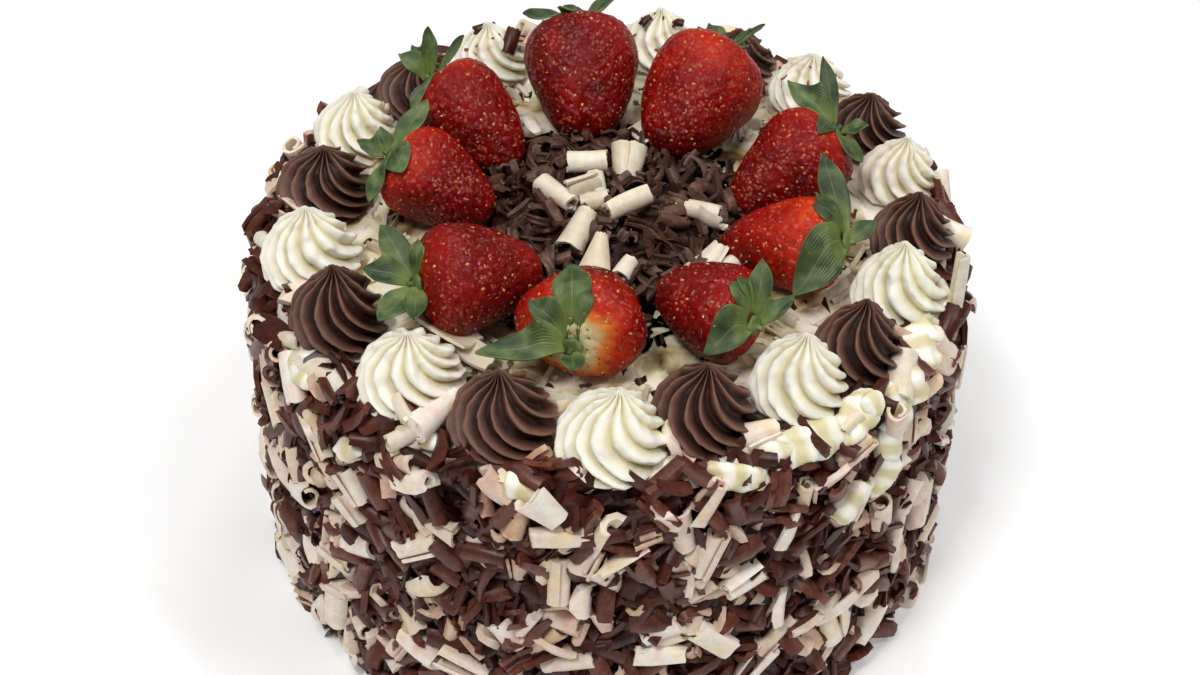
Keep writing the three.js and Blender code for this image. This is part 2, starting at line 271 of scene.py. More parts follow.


# Strawberry skin under clear fruit glaze: deep glossy red, paler towards an unripe shoulder, and painted
# paler on its upper side as painted light
def makeBerrySkin():
    material, tree, shader, place = newMaterial("glazedBerrySkin", {
        "Roughness": 0.4, "IOR": 1.4, "Specular IOR Level": 0.03, "Coat Weight": 0.28,
        "Coat Roughness": 0.03, "Coat IOR": 1.8, "Subsurface Weight": 0.1,
        "Subsurface Radius": (1.0, 0.15, 0.05), "Subsurface Scale": 0.002})
    mixed = addShare(tree, readAttribute(tree, "ripe"), 0.3, addNoise(tree, place, 130.0, 3.0))
    tint = addRamp(tree, [(0.12, "#E9DDA8"), (0.3, "#E07A24"), (0.46, "#BA2605"), (0.72, "#880703"),
                          (1.0, "#520202")], mixed)
    # the glaze dried in small drops about 1.4 mm apart, with fine wrinkles between them, as relief; warm
    # specks painted on the drops where a slow noise is high are painted glints of light off the glaze
    drops = addNode(tree, "ShaderNodeTexVoronoi", {"feature": "F1", "Scale": 720.0},
                    {"Vector": place.outputs["Object"]})
    paintedGlints = addNode(tree, "ShaderNodeMapRange", {
        "From Min": 0.42, "From Max": 0.2, "To Min": 0.0, "To Max": 1.0}, {"Value": drops})
    glintPatches = addNode(tree, "ShaderNodeMapRange", {
        "From Min": 0.44, "From Max": 0.66, "To Min": 0.0, "To Max": 0.5},
        {"Value": addNoise(tree, place, 240.0, 2.0)})
    glintShare = addNode(tree, "ShaderNodeMath", {"operation": "MULTIPLY"}, {0: paintedGlints, 1: glintPatches})
    # painted glints: the warm orange of light caught on the glaze
    skin = mixColour(tree, glintShare, tint, "#DC7350")
    runs = addNoise(tree, place, 700.0, 1.0, {"Distortion": 0.6})
    dress(tree, shader, skin, addShare(tree, drops, 1.4, runs), 0.9, 0.0007, "Coat Normal")
    return material


# Strawberry seeds: small hard golden grains, some still red with the glaze round them
def makeSeedSkin():
    material, tree, shader = newMaterial("berrySeed", {
        "Roughness": 0.3, "IOR": 1.5, "Coat Weight": 0.8, "Coat Roughness": 0.08})[:3]
    tint = addRamp(tree, [(0.0, "#6E0E06"), (0.6, "#9C3410"), (1.0, "#D09A4A")],
                   readAttribute(tree, "tone"))
    tree.links.new(tint.outputs[0], shader.inputs["Base Color"])
    return material


# Strawberry leaf: matt fresh green with a pale rim, a pale middle rib and fine long veins
def makeLeafSkin():
    material, tree, shader, place = newMaterial("berryLeaf", {
        "Roughness": 0.42, "IOR": 1.42, "Subsurface Weight": 0.1,
        "Subsurface Radius": (0.4, 1.0, 0.2), "Subsurface Scale": 0.001})
    sheet = addNode(tree, "ShaderNodeSeparateXYZ", {}, {"Vector": place.outputs["UV"]})
    fromRib = addNode(tree, "ShaderNodeMath", {"operation": "SUBTRACT", 1: 0.5}, {0: sheet.outputs["Y"]})
    distance = addNode(tree, "ShaderNodeMath", {"operation": "ABSOLUTE"}, {0: fromRib})
    body = addRamp(tree, [(0.32, "#26351B"), (0.5, "#44572F"), (0.68, "#6C7B4C")],
                   addNoise(tree, place, 180.0, 3.0))
    light = addRamp(tree, [(0.0, "#8A8A8A"), (0.03, "#000000"), (0.46, "#000000"), (0.5, "#6A6A6A")],
                    distance)
    ribbed = mixColour(tree, light, body, "#9DB26A")
    # yellower where the leaves join
    nearStem = addRamp(tree, [(0.05, "#C0C0C0"), (0.4, "#000000")], sheet.outputs["X"])
    tint = mixColour(tree, nearStem, ribbed, "#8C9C4E")
    # long fine veins from stem to tip, 0.6 mm apart on a broad leaf
    lines = addNode(tree, "ShaderNodeMath", {"operation": "MULTIPLY", 1: 105.0}, {0: distance})
    wave = addNode(tree, "ShaderNodeMath", {"operation": "SINE"}, {0: lines})
    dress(tree, shader, tint, wave, 0.35, 0.0002)
    return material


# Chocolate shavings: each piece its own tone, streaked along
def makeChocolate(name, stops, hues, roughness, gloss, scatter=0.0, scatterRadius=(1.0, 0.5, 0.3)):
    material, tree, shader, place = newMaterial(name, {
        "Roughness": roughness, "IOR": 1.5, "Specular IOR Level": gloss, "Subsurface Weight": scatter,
        "Subsurface Radius": scatterRadius, "Subsurface Scale": 0.0015})
    streaks = addNoise(tree, place, 330.0, 4.0, {"Roughness": 0.7})
    centred = addNode(tree, "ShaderNodeMath", {"operation": "SUBTRACT", 1: 0.5}, {0: streaks})
    tint = addRamp(tree, stops, addShare(tree, readAttribute(tree, "tone"), 1.1, centred))
    hue = addRamp(tree, hues, addNoise(tree, place, 110.0, 2.0))
    stained = addNode(tree, "ShaderNodeMix", {"data_type": "RGBA", "blend_type": "MULTIPLY", 0: 1.0},
                      {6: tint, 7: hue})
    dress(tree, shader, stained.outputs[2], streaks, 0.4, 0.0004)
    return material


# whipped cream spread with a knife: soft satin white, light goes a little way in
coatCream = makeCream("coatCream", {
    "Roughness": 0.5, "Subsurface Weight": 0.25, "Subsurface Radius": (1.0, 0.75, 0.5),
    "Subsurface Scale": 0.002},
    patchNoise=(70.0, 4.0), stops=[(0.3, "#E3D2BC"), (0.5, "#F1E6D4"), (0.7, "#F8F2E6")],
    relief=(0.35, 0.0006), poreNoise=(500.0, 3.0))
# the cream of the side between the shavings: dark brown as painted shade between the shavings, white in spots
shadedSideCream = makeCream("shadeDarkenedSideCream", {
    "Roughness": 0.6, "Specular IOR Level": 0.3},
    patchNoise=(90.0, 4.0),
    stops=[(0.45, "#2A120D"), (0.58, "#4A2A20"), (0.64, "#D9C8B6"), (0.75, "#F2E8DC")],
    relief=(0.5, 0.001))
# the same cream under a thin golden fruit glaze that ran off the berries: wet and shiny; its darkest
# brown-olive patches, placed by noise, are partly painted shade between the berries and the rosettes
glazedShadedCream = makeCream("glazedShadedCream", {
    "Roughness": 0.35, "Coat Weight": 0.8, "Coat Roughness": 0.08, "Subsurface Weight": 0.2,
    "Subsurface Radius": (1.0, 0.6, 0.3), "Subsurface Scale": 0.002},
    patchNoise=(95.0, 4.0, {"Distortion": 0.6}),
    stops=[(0.34, "#6E5530"), (0.43, "#B39A6A"), (0.53, "#DFD2AE"), (0.66, "#F1E9D4")],
    relief=(0.5, 0.001))
# the last stop of each ramp is the painted shade deep in the grooves; the chocolate's lightest stop is a
# painted highlight on its crests
whitePiped = makePipedCream("whitePipedCream", [
    (0.12, "#FCF8EC"), (0.5, "#F5EEDA"), (1.1, "#DDD1A6")], roughness=0.42, scatter=0.3)
chocolatePiped = makePipedCream("chocolatePipedCream", [
    (0.15, "#7E5C4D"), (0.5, "#5C3C30"), (1.1, "#2C160F")], roughness=0.52, scatter=0.05)
berrySkin = makeBerrySkin()
seedSkin = makeSeedSkin()
leafSkin = makeLeafSkin()
darkChocolate = makeChocolate("darkChocolate", [
    (0.0, "#220A05"), (0.45, "#431F16"), (0.8, "#5E3528"), (1.0, "#784F40")],
    [(0.4, "#FFE6DC"), (0.6, "#FFFFFF")], roughness=0.36, gloss=0.3)
whiteChocolate = makeChocolate("whiteChocolate", [
    (0.0, "#C49C84"), (0.35, "#DCC4B0"), (0.7, "#ECDDD0"), (1.0, "#F8F2EA")],
    [(0.38, "#FFEFE8"), (0.5, "#FFFDF9"), (0.62, "#FFF5DC")],
    roughness=0.4, gloss=0.4, scatter=0.2, scatterRadius=(1.0, 0.6, 0.45))
ivoryChocolate = makeChocolate("ivoryChocolate", [
    (0.0, "#C2B59C"), (0.4, "#D9CFBC"), (0.75, "#E8E1D0"), (1.0, "#F4F0E4")],
    [(0.4, "#FFF6EA"), (0.6, "#FFFFFF")],
    roughness=0.4, gloss=0.4, scatter=0.2, scatterRadius=(1.0, 0.75, 0.5))
# the finer dark shavings of the heap are duller and a little greyer
dullChocolate = makeChocolate("dullDarkChocolate", [
    (0.0, "#1D0B06"), (0.45, "#3C231B"), (0.8, "#584034"), (1.0, "#75594C")],
    [(0.4, "#FFEEE6"), (0.6, "#FFFFFF")], roughness=0.42, gloss=0.25)
print("stage: materials made")


# The cake body: cream spread round an uncut cake, its top glazed inside the ring of rosettes
cakeSizes = {
    "footRadius": 98.6, "topRadius": 94.4, "height": 105.0, "edgeRound": 3.0, "foot": 1.5,
    "footInset": 4, "sideRows": 44, "edgeRows": 7, "topRows": 50, "columns": 300, "glazeReach": 74.0,
    # waves left by the knife: how deep, how long, how long the finer ones are and their share,
    # and on the top how much of them is left and how far they lie under the height
    "wave": 0.5, "waveLength": 14.0, "fineLength": 4.0, "fineShare": 0.4, "topShare": 0.5, "topDrop": 0.3,
}


def bodyRadius(z):
    s = cakeSizes
    return s["footRadius"] + (s["topRadius"] - s["footRadius"]) * z / s["height"]


def buildCake():
    s = cakeSizes
    foot, height, edge = s["footRadius"], s["height"], s["edgeRound"]
    corner = s["topRadius"] - edge
    profile = [(foot - s["footInset"], 0.0), (foot - s["foot"] * 0.3, 0.3), (foot, s["foot"])]
    profile += [(bodyRadius(z), z) for z in np.linspace(4, height - edge, s["sideRows"])]
    for angle in np.radians(np.linspace(12, 90, s["edgeRows"])):
        profile.append((corner + edge * math.cos(angle), height - edge * (1 - math.sin(angle))))
    profile += [(r, height) for r in np.linspace(corner - 2, 2, s["topRows"])]
    profile = np.array(profile)
    rows, columns = len(profile), s["columns"]
    angles = ringAngles(columns)
    r = profile[:, :1]
    points = np.stack([r * np.cos(angles), r * np.sin(angles),
                       np.repeat(profile[:, 1:], columns, 1)], 2).reshape(-1, 3)
    points = np.vstack([points, [[0, 0, 0], [0, 0, height]]])
    wave = bumps(points, s["waveLength"], 1) * s["wave"]
    # the finer waves lie level round the side
    wave = wave + bumps(points * [1, 1, 2.5], s["fineLength"], 2) * s["wave"] * s["fineShare"]
    flat = np.hypot(points[:, 0], points[:, 1])
    onSide = (flat > corner - 1) & (points[:, 2] > 1)
    outward = points[:, :2] / np.maximum(flat, 1)[:, None]
    points[:, :2] += np.where(onSide, wave, 0)[:, None] * outward
    onTop = (points[:, 2] > height - s["edgeRound"] / 2) & (flat < corner)
    points[:, 2] += np.where(onTop, wave * s["topShare"] - s["topDrop"], 0)
    cake = linked(meshObject("cakeBody", points, latheFaces(rows, columns),
                             [coatCream, glazedShadedCream, shadedSideCream]))
    for face in cake.data.polygons:
        middle = face.center
        reach = math.hypot(middle.x, middle.y) / mm
        if middle.z > (height - edge) * mm:
            face.material_index = 1 if reach < s["glazeReach"] else 0
        # the side below the edge takes the cream darkened with painted shade between the shavings
        elif middle.z > 0.5 * mm:
            face.material_index = 2
    addPiece(cake, "coated_cream", "cake")


buildCake()
print("stage: cake body done")

# The ring of piped rosettes
rosetteSizes = {
    "ringRadius": 82.0, "foot": 105.3, "ridges": 12, "columnsARidge": 16, "rows": 46, "gap": 0.3,
    # how far the ridges sweep round at the foot and curl back at the tip, how deep they are cut,
    # how much each leans over the next, and how unevenly they follow each other
    "twist": 105.0, "sweep": 1.9, "tipTwist": 45.0, "whiteDepth": 0.23, "chocolateDepth": 0.28,
    "fold": 0.45, "slowUneven": 0.85, "fastUneven": 0.45,
    # from this share of the height on the ridges are cut deeper and end in a ragged tooth each
    "tipStart": 0.75, "tipCut": 0.9, "tooth": 0.9, "lean": 1.2,
    # unevenness of the piping in two sizes of lump
    "ripple": 0.45, "rippleLength": 1.8, "lump": 1.0, "lumpLength": 5.0,
}
# turn anticlockwise from the front, how far off the ring, radius and height of each
rosettePlaces = [
    (1, 1, 14.4, 19.8), (17.8, -3.6, 13.8, 21.6), (37, -1.5, 12.6, 22.6), (51.8, 0, 11.6, 20.8),
    (68.9, 1, 12.6, 21.6), (85, 2, 12.0, 20.6), (103.5, 3, 11.2, 18.4), (119, 4.2, 12.6, 16.8),
    (134.9, 4, 12.6, 17.8), (151.4, 0.4, 12.8, 17.5), (169, 2.6, 12.0, 16.8), (187.5, 2, 12.6, 17.2),
    (206.2, 0.6, 12.0, 18.0), (225, 0.4, 12.4, 16.2), (243.5, 1, 12.8, 18.2), (261.7, -1, 14.2, 19.0),
    (282.5, 0.5, 13.7, 21.4), (301, -0.3, 13.2, 22.2), (321.9, -1.6, 14.1, 20.4),
    (341.8, -0.7, 13.9, 19.7),
]
# radius and height as shares of the whole, from the foot to the pulled tip
rosetteOutline = [(0.8, 0.0), (0.95, 0.06), (1.0, 0.17), (0.965, 0.31), (0.87, 0.46), (0.72, 0.61),
                  (0.53, 0.745), (0.34, 0.85), (0.19, 0.93), (0.1, 0.99), (0.03, 1.04)]


def ringPlaces():
    return [around(turn - 90, rosetteSizes["ringRadius"] + shift) for turn, shift, *size in rosettePlaces]


def buildRosette(i):
    s = rosetteSizes
    random = np.random.default_rng(100 + i)
    white = i % 2 == 0
    centres = ringPlaces()
    centre = centres[i]
    radius, height = rosettePlaces[i][2:]
    columns = s["ridges"] * s["columnsARidge"]
    outline = smoothLine(rosetteOutline, s["rows"])
    height = height * random.uniform(0.96, 1.0)
    twist = math.radians(s["twist"] * random.uniform(0.85, 1.15))
    ridges = s["ridges"] + (int(random.integers(-1, 2)) if white else 0)
    phase = random.uniform(0, 2 * math.pi)
    angles = ringAngles(columns)[None, :]
    share = outline[:, :1]
    rise = outline[:, 1:]
    # the ridges sweep on at the foot and curl back a little towards the tip
    swing = twist * np.clip(1 - rise, 0, 1) ** s["sweep"]
    swing = swing + math.radians(s["tipTwist"]) * np.exp(-share / 0.3)
    # some ridges are fuller than others, as the hand turns unevenly
    uneven = (s["slowUneven"] * np.sin(angles * 2 + phase)
              + s["fastUneven"] * np.sin(angles * 5 + 2 * phase + 2 * rise))
    wave = ridges * angles + phase + uneven
    # each ridge leans over the next, so one of its flanks is steeper
    wave = wave + s["fold"] * np.sin(wave)
    if white:
        crest = np.abs(np.cos(wave / 2)) ** 0.7
        depth = s["whiteDepth"]
    else:
        crest = np.cos(wave / 2) ** 2
        depth = s["chocolateDepth"]
    nearTip = np.clip((rise - s["tipStart"]) / (1 - s["tipStart"]), 0, 1)
    fade = 1 - 0.45 * np.clip(1 - rise / 0.08, 0, 1)  # shallower where they press on the cake
    cut = depth * fade * (1 + s["tipCut"] * nearTip)
    reach = radius * share * (1 - cut * (1 - crest))
    tall = rise * height + s["tooth"] * nearTip * (crest - 0.5) * (share > 0.05)
    swept = angles + swing
    # neighbours flatten each other where they meet
    for other in (centres[i - 1], centres[(i + 1) % len(centres)]):
        toward = other - centre
        facing = np.cos(swept - math.atan2(toward[1], toward[0]))
        limit = (np.linalg.norm(toward) - s["gap"]) / 2 / np.maximum(facing, 0.05)
        excess = np.clip(reach - limit, 0, None)
        reach = reach - np.where(facing > 0.05, excess, 0)
    lean = random.uniform(-s["lean"], s["lean"], 2)
    x = reach * np.cos(swept) + lean[0] * rise ** 2
    y = reach * np.sin(swept) + lean[1] * rise ** 2
    points = np.stack([x, y, tall * np.ones_like(angles)], 2).reshape(-1, 3)
    ripple = (bumps(points, s["rippleLength"], i) * s["ripple"]
              + bumps(points, s["lumpLength"], i + 40) * s["lump"])
    flat = np.maximum(np.hypot(points[:, 0], points[:, 1]), 0.5)
    points[:, :2] *= (1 + ripple / flat * np.clip(flat / 4, 0, 1))[:, None]
    points[:, 2] = np.maximum(points[:, 2], 0)
    top = [[lean[0], lean[1], height * 1.05]]
    points = np.vstack([points, [[0, 0, 0]], top]) + centre + [0, 0, s["foot"]]
    # groove is how deep each point lies in a groove; the cream's colour darkens with it as painted shade
    groove = np.concatenate([((1 - crest) * np.ones_like(rise)).ravel(), [0.5, 0.2]])
    kind, material = ("white", whitePiped) if white else ("chocolate", chocolatePiped)
    faces = latheFaces(s["rows"], columns)
    piece = linked(meshObject(f"{kind}Rosette{i + 1:02d}", points, faces, [material], {"groove": groove}))
    addPiece(piece, f"{kind}_cream", f"{kind}_rosette_{i + 1:02d}")
    return points, faces


rosetteForms = [buildRosette(i) for i in range(len(rosettePlaces))]
print("stage: rosettes done")

# The strawberries
berrySizes = {
    "foot": 105.3, "rows": 100, "columns": 200, "seedSpacing": 3.4, "seedScatter": 0.4,
    "dimpleDepth": 0.6, "dimpleWidth": 1.1, "dimpleReach": 4, "seedLength": 1.2, "seedWidth": 0.7,
    "seedDepth": 0.45, "bareTip": 0.6, "bareStem": 0.24, "swell": 0.4, "swellLength": 7.0,
    # the surface mostly swells sideways, this much along the berry
    "alongShare": 0.35,
    # how ripe the whole is, what an unripe shoulder takes off, how much paler the upper side is painted as
    # painted light, and the patches
    "ripe": 0.78, "paleness": 0.88, "paleEdge": 1.25, "paintedTopLight": 0.08, "patches": 0.14, "patchLength": 9.0,
}
berryOutline = [(0, 0), (0.3, 0.045), (0.56, 0.17), (0.78, 0.36), (0.94, 0.56),
                (1, 0.73), (0.92, 0.875), (0.68, 0.965), (0.32, 1), (0, 0.975)]
# centre by turn from +X and reach, the way the stem end points and rises, how flat and blunt it
# is, depth and width of a cleft in the tip, how ripe the shoulder is (1 red to the stem, 0 pale)
# and how many half widths the paleness reaches, leaves as (heading, reach, rise, width)
strawberries = [
    {"turn": 99, "reach": 49, "heading": 94, "pitch": 25, "length": 37, "width": 33.8, "flat": 1,
     "blunt": 0.4, "cleft": (2.6, 1.8), "shoulder": 0.95, "leaves": [
         (204, 18, 9, 9), (235, 10, 12, 6), (350, 11, 12, 8), (30, 10, 6, 6), (120, 9, 2, 6)]},
    {"turn": 59, "reach": 47, "heading": 60, "pitch": 20, "length": 38.5, "width": 33, "flat": 1,
     "blunt": 0.3, "shoulder": 0.6, "paleReach": 2.2, "leaves": [
         (180, 8, 8, 5), (307, 9, 6, 6), (349, 11, 11, 5), (20, 9, 4, 5), (110, 10, 3, 6)]},
    {"turn": 140.5, "reach": 49.5, "heading": 141, "pitch": 23, "length": 35.5, "width": 28.8,
     "flat": 1, "shoulder": 0.7, "paleReach": 1.6, "leaves": [
         (94, 7, 14, 4.5), (16, 10, 14, 5), (130, 8, 8, 5), (165, 9, 8, 6), (258, 17, 2, 6)]},
    {"turn": 174.5, "reach": 46, "heading": 158, "pitch": 20, "length": 32, "width": 25.8, "flat": 1,
     "shoulder": 0.25, "paleReach": 1.5, "leaves": [
         (53, 16, 10, 7.5), (120, 7, 5, 5), (173, 9, 4, 6), (290, 15, 6, 8), (255, 20, 0, 5)]},
    {"turn": 226.5, "reach": 47.7, "heading": 203, "pitch": 11, "length": 34, "width": 30,
     "flat": 0.96, "shoulder": 0.7, "leaves": [
         (125, 17, 8, 8), (168, 14, 3, 7), (240, 16, 0, 8), (275, 13, 0, 6), (90, 7, 9, 4)]},
    {"turn": 264, "reach": 48, "heading": 255, "pitch": 3.5, "length": 27.5, "width": 35.5,
     "flat": 0.78, "shoulder": 0.0, "paleReach": 1.2, "leaves": [
         (90, 17, 13, 10), (148, 13, 9, 5.5), (184, 24, 1, 8.5), (48, 8, 4, 4), (276, 8, 0, 6)]},
    {"turn": 300.5, "reach": 49.6, "heading": 321, "pitch": 8, "length": 29.5, "width": 26.2,
     "flat": 0.94, "shoulder": 0.6, "leaves": [
         (155, 8, 10, 5), (120, 8, 9, 4), (77, 12, 12, 6), (25, 11, 6, 5), (217, 16, -1, 7)]},
    {"turn": 339.5, "reach": 49.6, "heading": 347, "pitch": 13, "length": 33.4, "width": 26.6,
     "flat": 0.93, "shoulder": 0.3, "paleReach": 2.2, "leaves": [
         (104, 22, 13, 8), (135, 11, 11, 5), (162, 10, 10, 7), (231, 22, -4, 10), (32, 9, 4, 6)]},
    {"turn": 13.3, "reach": 50.2, "heading": 33, "pitch": 24, "length": 36, "width": 28.3,
     "flat": 0.97, "shoulder": 0.6, "paleReach": 1.5, "leaves": [
         (100, 16, 14, 5), (135, 18, 8, 8), (285, 18, 3, 6), (349, 9, 4, 6), (240, 13, 3, 5)]},
]
seedPlaces = []  # (middle, outward, along) for each seed


def berrySurface(i, berry, r, x, angle):
    # slight lobes and a slow waviness make each berry its own
    lobe = 1 + 0.025 * np.sin(2 * angle + i) + 0.02 * np.sin(3 * angle + 2 * i + x / 9)
    return np.stack([x * np.ones_like(angle), r * lobe * np.cos(angle),
                     r * lobe * np.sin(angle) * berry["flat"]], -1)


def buildBerry(i, berry):
    s = berrySizes
    halfWidth = berry["width"] / 2
    outline = smoothLine(berryOutline, s["rows"] + 2)
    outline[:, 0] = np.maximum(outline[:, 0], 0)
    radius = outline[:, 0] ** (1 - 0.4 * berry.get("blunt", 0)) * halfWidth
    along = (outline[:, 1] - 0.5) * berry["length"]
    angles = ringAngles(s["columns"])
    points = berrySurface(i, berry, radius[1:-1, None], along[1:-1, None], angles[None, :]).reshape(-1, 3)
    points = np.vstack([points, [[along[0], 0, 0], [along[-1], 0, 0]]])

    # seeds sit evenly by area on a golden-angle spiral, none at the very tip and under the leaves
    step = np.hypot(np.diff(radius), np.diff(along))
    area = np.concatenate([[0], np.cumsum(2 * math.pi * step * (radius[1:] + radius[:-1]) / 2)])
    count = int(area[-1] / (s["seedSpacing"] ** 2 * 0.87))
    share = (np.arange(count) + 0.5) / count * area[-1]
    seedX = np.interp(share, area, along)
    seedR = np.interp(share, area, radius)
    seedAngle = np.radians(np.arange(count) * goldenAngle)
    seeds = berrySurface(i, berry, seedR, seedX, seedAngle)
    ahead = berrySurface(i, berry, np.interp(share + 8, area, radius), np.interp(share + 8, area, along),
                         seedAngle)
    aside = berrySurface(i, berry, seedR, seedX, seedAngle + 0.05)
    bare = ((seedX > 0) & (seedR < s["bareStem"] * halfWidth)) | (seedX < along[0] + s["bareTip"])
    seeds += np.random.default_rng(200 + i).normal(0, s["seedScatter"], seeds.shape)

    # a dimple round every seed, and soft swelling between them
    hollow = np.zeros(len(points))
    for k in np.flatnonzero(~bare):
        near = np.abs(points[:, 0] - seeds[k, 0]) < s["dimpleReach"]
        distance = np.linalg.norm(points[near] - seeds[k], axis=1)
        hollow[near] += np.exp(-(distance / s["dimpleWidth"]) ** 2)
    outward = points * [s["alongShare"], 1, 1]
    outward /= np.maximum(np.linalg.norm(outward, axis=1), 1e-6)[:, None]
    swelling = bumps(points, s["swellLength"], i + 60) * s["swell"]
    points += outward * (swelling - hollow * s["dimpleDepth"])[:, None]
    if "cleft" in berry:
        # a fold that parts the tip into two lobes, seen from above
        depth, width = berry["cleft"]
        down = np.exp(-(points[:, 1] / width) ** 2) * np.clip(points[:, 2] / 6, 0, 1)
        down *= np.clip(1 - (points[:, 0] - along[0]) / (0.3 * berry["length"]), 0, 1)
        points -= outward * (down * depth)[:, None]

    # ripe at the tip, paler towards the stem
    fromStem = np.linalg.norm(points - [along[-1], 0, 0], axis=1) / halfWidth
    reach = berry.get("paleReach", 1.25)
    pale = np.clip(s["paleEdge"] * (1 - fromStem / reach), 0, 1) * (1 - berry["shoulder"])
    # painted light: by its height in the berry, the upper side is painted paler and more orange and the
    # underside deeper red
    paintedTopLight = s["paintedTopLight"] * points[:, 2] / halfWidth
    patches = s["patches"] * bumps(points, s["patchLength"], i + 80)
    ripe = s["ripe"] - s["paleness"] * pale - paintedTopLight + patches

    spin = turning("Z", berry["heading"]) @ turning("Y", -berry["pitch"])
    points = points @ spin.T
    place = around(berry["turn"], berry["reach"])
    place[2] = s["foot"] - points[:, 2].min()
    points += place
    faces = latheFaces(s["rows"], s["columns"])
    skin = formTree((points, faces))
    for k in np.flatnonzero(~bare):
        up = np.cross(ahead[k] - seeds[k], aside[k] - seeds[k])
        up *= np.sign(up @ (seeds[k] * [s["alongShare"], 1, 1])) / np.linalg.norm(up)
        way = spin @ (ahead[k] - seeds[k])
        above = Vector(spin @ (seeds[k] + 2 * up) + place)
        hit = skin.ray_cast(above, -Vector(spin @ up), 4)[0]
        if hit is not None:
            seedPlaces.append((np.array(hit), spin @ up, way / np.linalg.norm(way)))
    piece = linked(meshObject(f"strawberry{i + 1}", points, faces, [berrySkin], {"ripe": ripe}))
    addPiece(piece, "strawberry", f"strawberry_{i + 1}")
    stem = spin @ np.array([1.0, 0, 0])
    stemEnd = place + stem * (berry["length"] / 2 + 1.0)
    return points, faces, stemEnd, stem


berryForms = [buildBerry(i, berry) for i, berry in enumerate(strawberries)]
print("stage: strawberries done,", len(seedPlaces), "seeds")

# The leaf crowns: each leaf is a thin sheet laid over the berries and rosettes under it, and
# the leaves join in a small green knob with the stub of the stem
leafSizes = {
    "rows": 26, "columns": 10, "root": 1.6, "thickness": 0.45, "clearance": 0.6, "smoothings": 24,
    "fold": 0.16, "ripple": 0.35, "sway": 0.06, "hubRadius": 3.0, "hubHeight": 1.3, "hubColumns": 20,
    "hubLobes": 5, "hubLobe": 0.08, "stubRadius": 0.7, "stubLength": 1.2,
}
leafOutline = [(0, 0.32), (0.15, 0.6), (0.33, 0.92), (0.5, 1), (0.68, 0.88), (0.84, 0.56), (0.94, 0.27),
               (1, 0.03)]
hubOutline = [(0.5, -0.6), (0.95, -0.45), (1.0, 0.0), (0.8, 0.45), (0.5, 0.7), (0.3, 0.85)]


def heightUnder(x, y, supports):
    down = Vector((0, 0, -1))
    heights = [tree.ray_cast(Vector((x, y, 400)), down)[0] for tree in supports]
    return max([hit.z for hit in heights if hit is not None] + [cakeSizes["height"]])


def leafSheet(stemEnd, leaf, supports, random):
    s = leafSizes
    heading, reach, rise, width = leaf
    rows, columns = s["rows"] + 1, s["columns"] + 1
    u = np.linspace(0, 1, rows)[:, None]
    v = np.linspace(-1, 1, columns)[None, :]
    line = smoothLine(leafOutline, 60)
    half = np.interp(u, line[:, 0], line[:, 1]) * width / 2
    angle = math.radians(heading)
    sway = random.uniform(-s["sway"], s["sway"]) * reach * u ** 2
    out = s["root"] + (reach - s["root"]) * u
    side = half * v + sway
    x = stemEnd[0] + out * math.cos(angle) - side * math.sin(angle)
    y = stemEnd[1] + out * math.sin(angle) + side * math.cos(angle)
    ripple = s["ripple"] * np.sin(u * random.uniform(7, 11) + random.uniform(0, 6)) * v * np.abs(v)
    z = stemEnd[2] + rise * u ** 0.8 + s["fold"] * half * np.abs(v) ** 1.5 + ripple
    # lifted clear of what lies under it, and smoothed without sinking in again
    need = np.array([[heightUnder(x[r, c], y[r, c], supports) for c in range(columns)]
                     for r in range(rows)]) + s["clearance"] - z
    lift = np.maximum(need, 0)
    for step in range(s["smoothings"]):
        spread = lift.copy()
        spread[1:-1] = (lift[:-2] + lift[2:] + 2 * lift[1:-1]) / 4
        spread[:, 1:-1] = (spread[:, :-2] + spread[:, 2:] + 2 * spread[:, 1:-1]) / 4
        lift = np.maximum(spread, need)
    points = np.stack([x, y, z + lift], 2).reshape(-1, 3)
    uv = np.stack([np.repeat(u, columns, 1), np.repeat(v / 2 + 0.5, rows, 0)], 2).reshape(-1, 2)
    return points, gridFaces(rows, columns), uv


def thickened(points, faces, uv, thickness):
    # closes a sheet into a thin solid, its upper face where the sheet was
    mesh = bpy.data.meshes.new("sheet")
    mesh.from_pydata([tuple(p) for p in points], [], faces)
    normals = np.array([v.normal for v in mesh.vertices])
    bpy.data.meshes.remove(mesh)
    return *closedSheet(points, points - normals * thickness, faces), np.vstack([uv, uv])


def hubForm(stemEnd, stem):
    s = leafSizes
    profile = [(r * s["hubRadius"], z * s["hubHeight"]) for r, z in hubOutline]
    profile += [(s["stubRadius"], s["hubHeight"] + s["stubLength"] * t) for t in (0.1, 0.5, 1.0)]
    angles = ringAngles(s["hubColumns"])
    swell = [1 + s["hubLobe"] * math.cos(s["hubLobes"] * a) for a in angles]
    points = np.array([[r * lobe * math.cos(a), r * lobe * math.sin(a), z]
                       for r, z in profile for a, lobe in zip(angles, swell)])
    points = np.vstack([points, [[0, 0, profile[0][1]], [0, 0, profile[-1][1] + 0.15]]])
    toStem = np.array(Vector((0, 0, 1)).rotation_difference(Vector(stem)).to_matrix())
    uv = np.tile([0.3, 0.3], (len(points), 1))
    return points @ toStem.T + stemEnd, latheFaces(len(profile), s["hubColumns"]), uv


def buildLeaves():
    supports = [formTree(form) for form in rosetteForms + berryForms]
    # from the back of the cake to its front, as the leaves at the front lie on top
    order = sorted(range(len(strawberries)), key=lambda i: -berryForms[i][2][1])
    for i in order:
        random = np.random.default_rng(300 + i)
        stemEnd, stem = berryForms[i][2:]
        parts = [hubForm(stemEnd, stem)]
        for leaf in strawberries[i]["leaves"]:
            sheet = leafSheet(stemEnd, leaf, supports, random)
            supports.append(formTree(sheet))
            parts.append(thickened(*sheet, leafSizes["thickness"]))
        points, faces, uv = joined(parts)
        addPiece(linked(meshObject(f"leaves{i + 1}", points, faces, [leafSkin], uv=uv)),
                 "leaf", f"leaves_{i + 1}")


buildLeaves()
print("stage: leaves done")


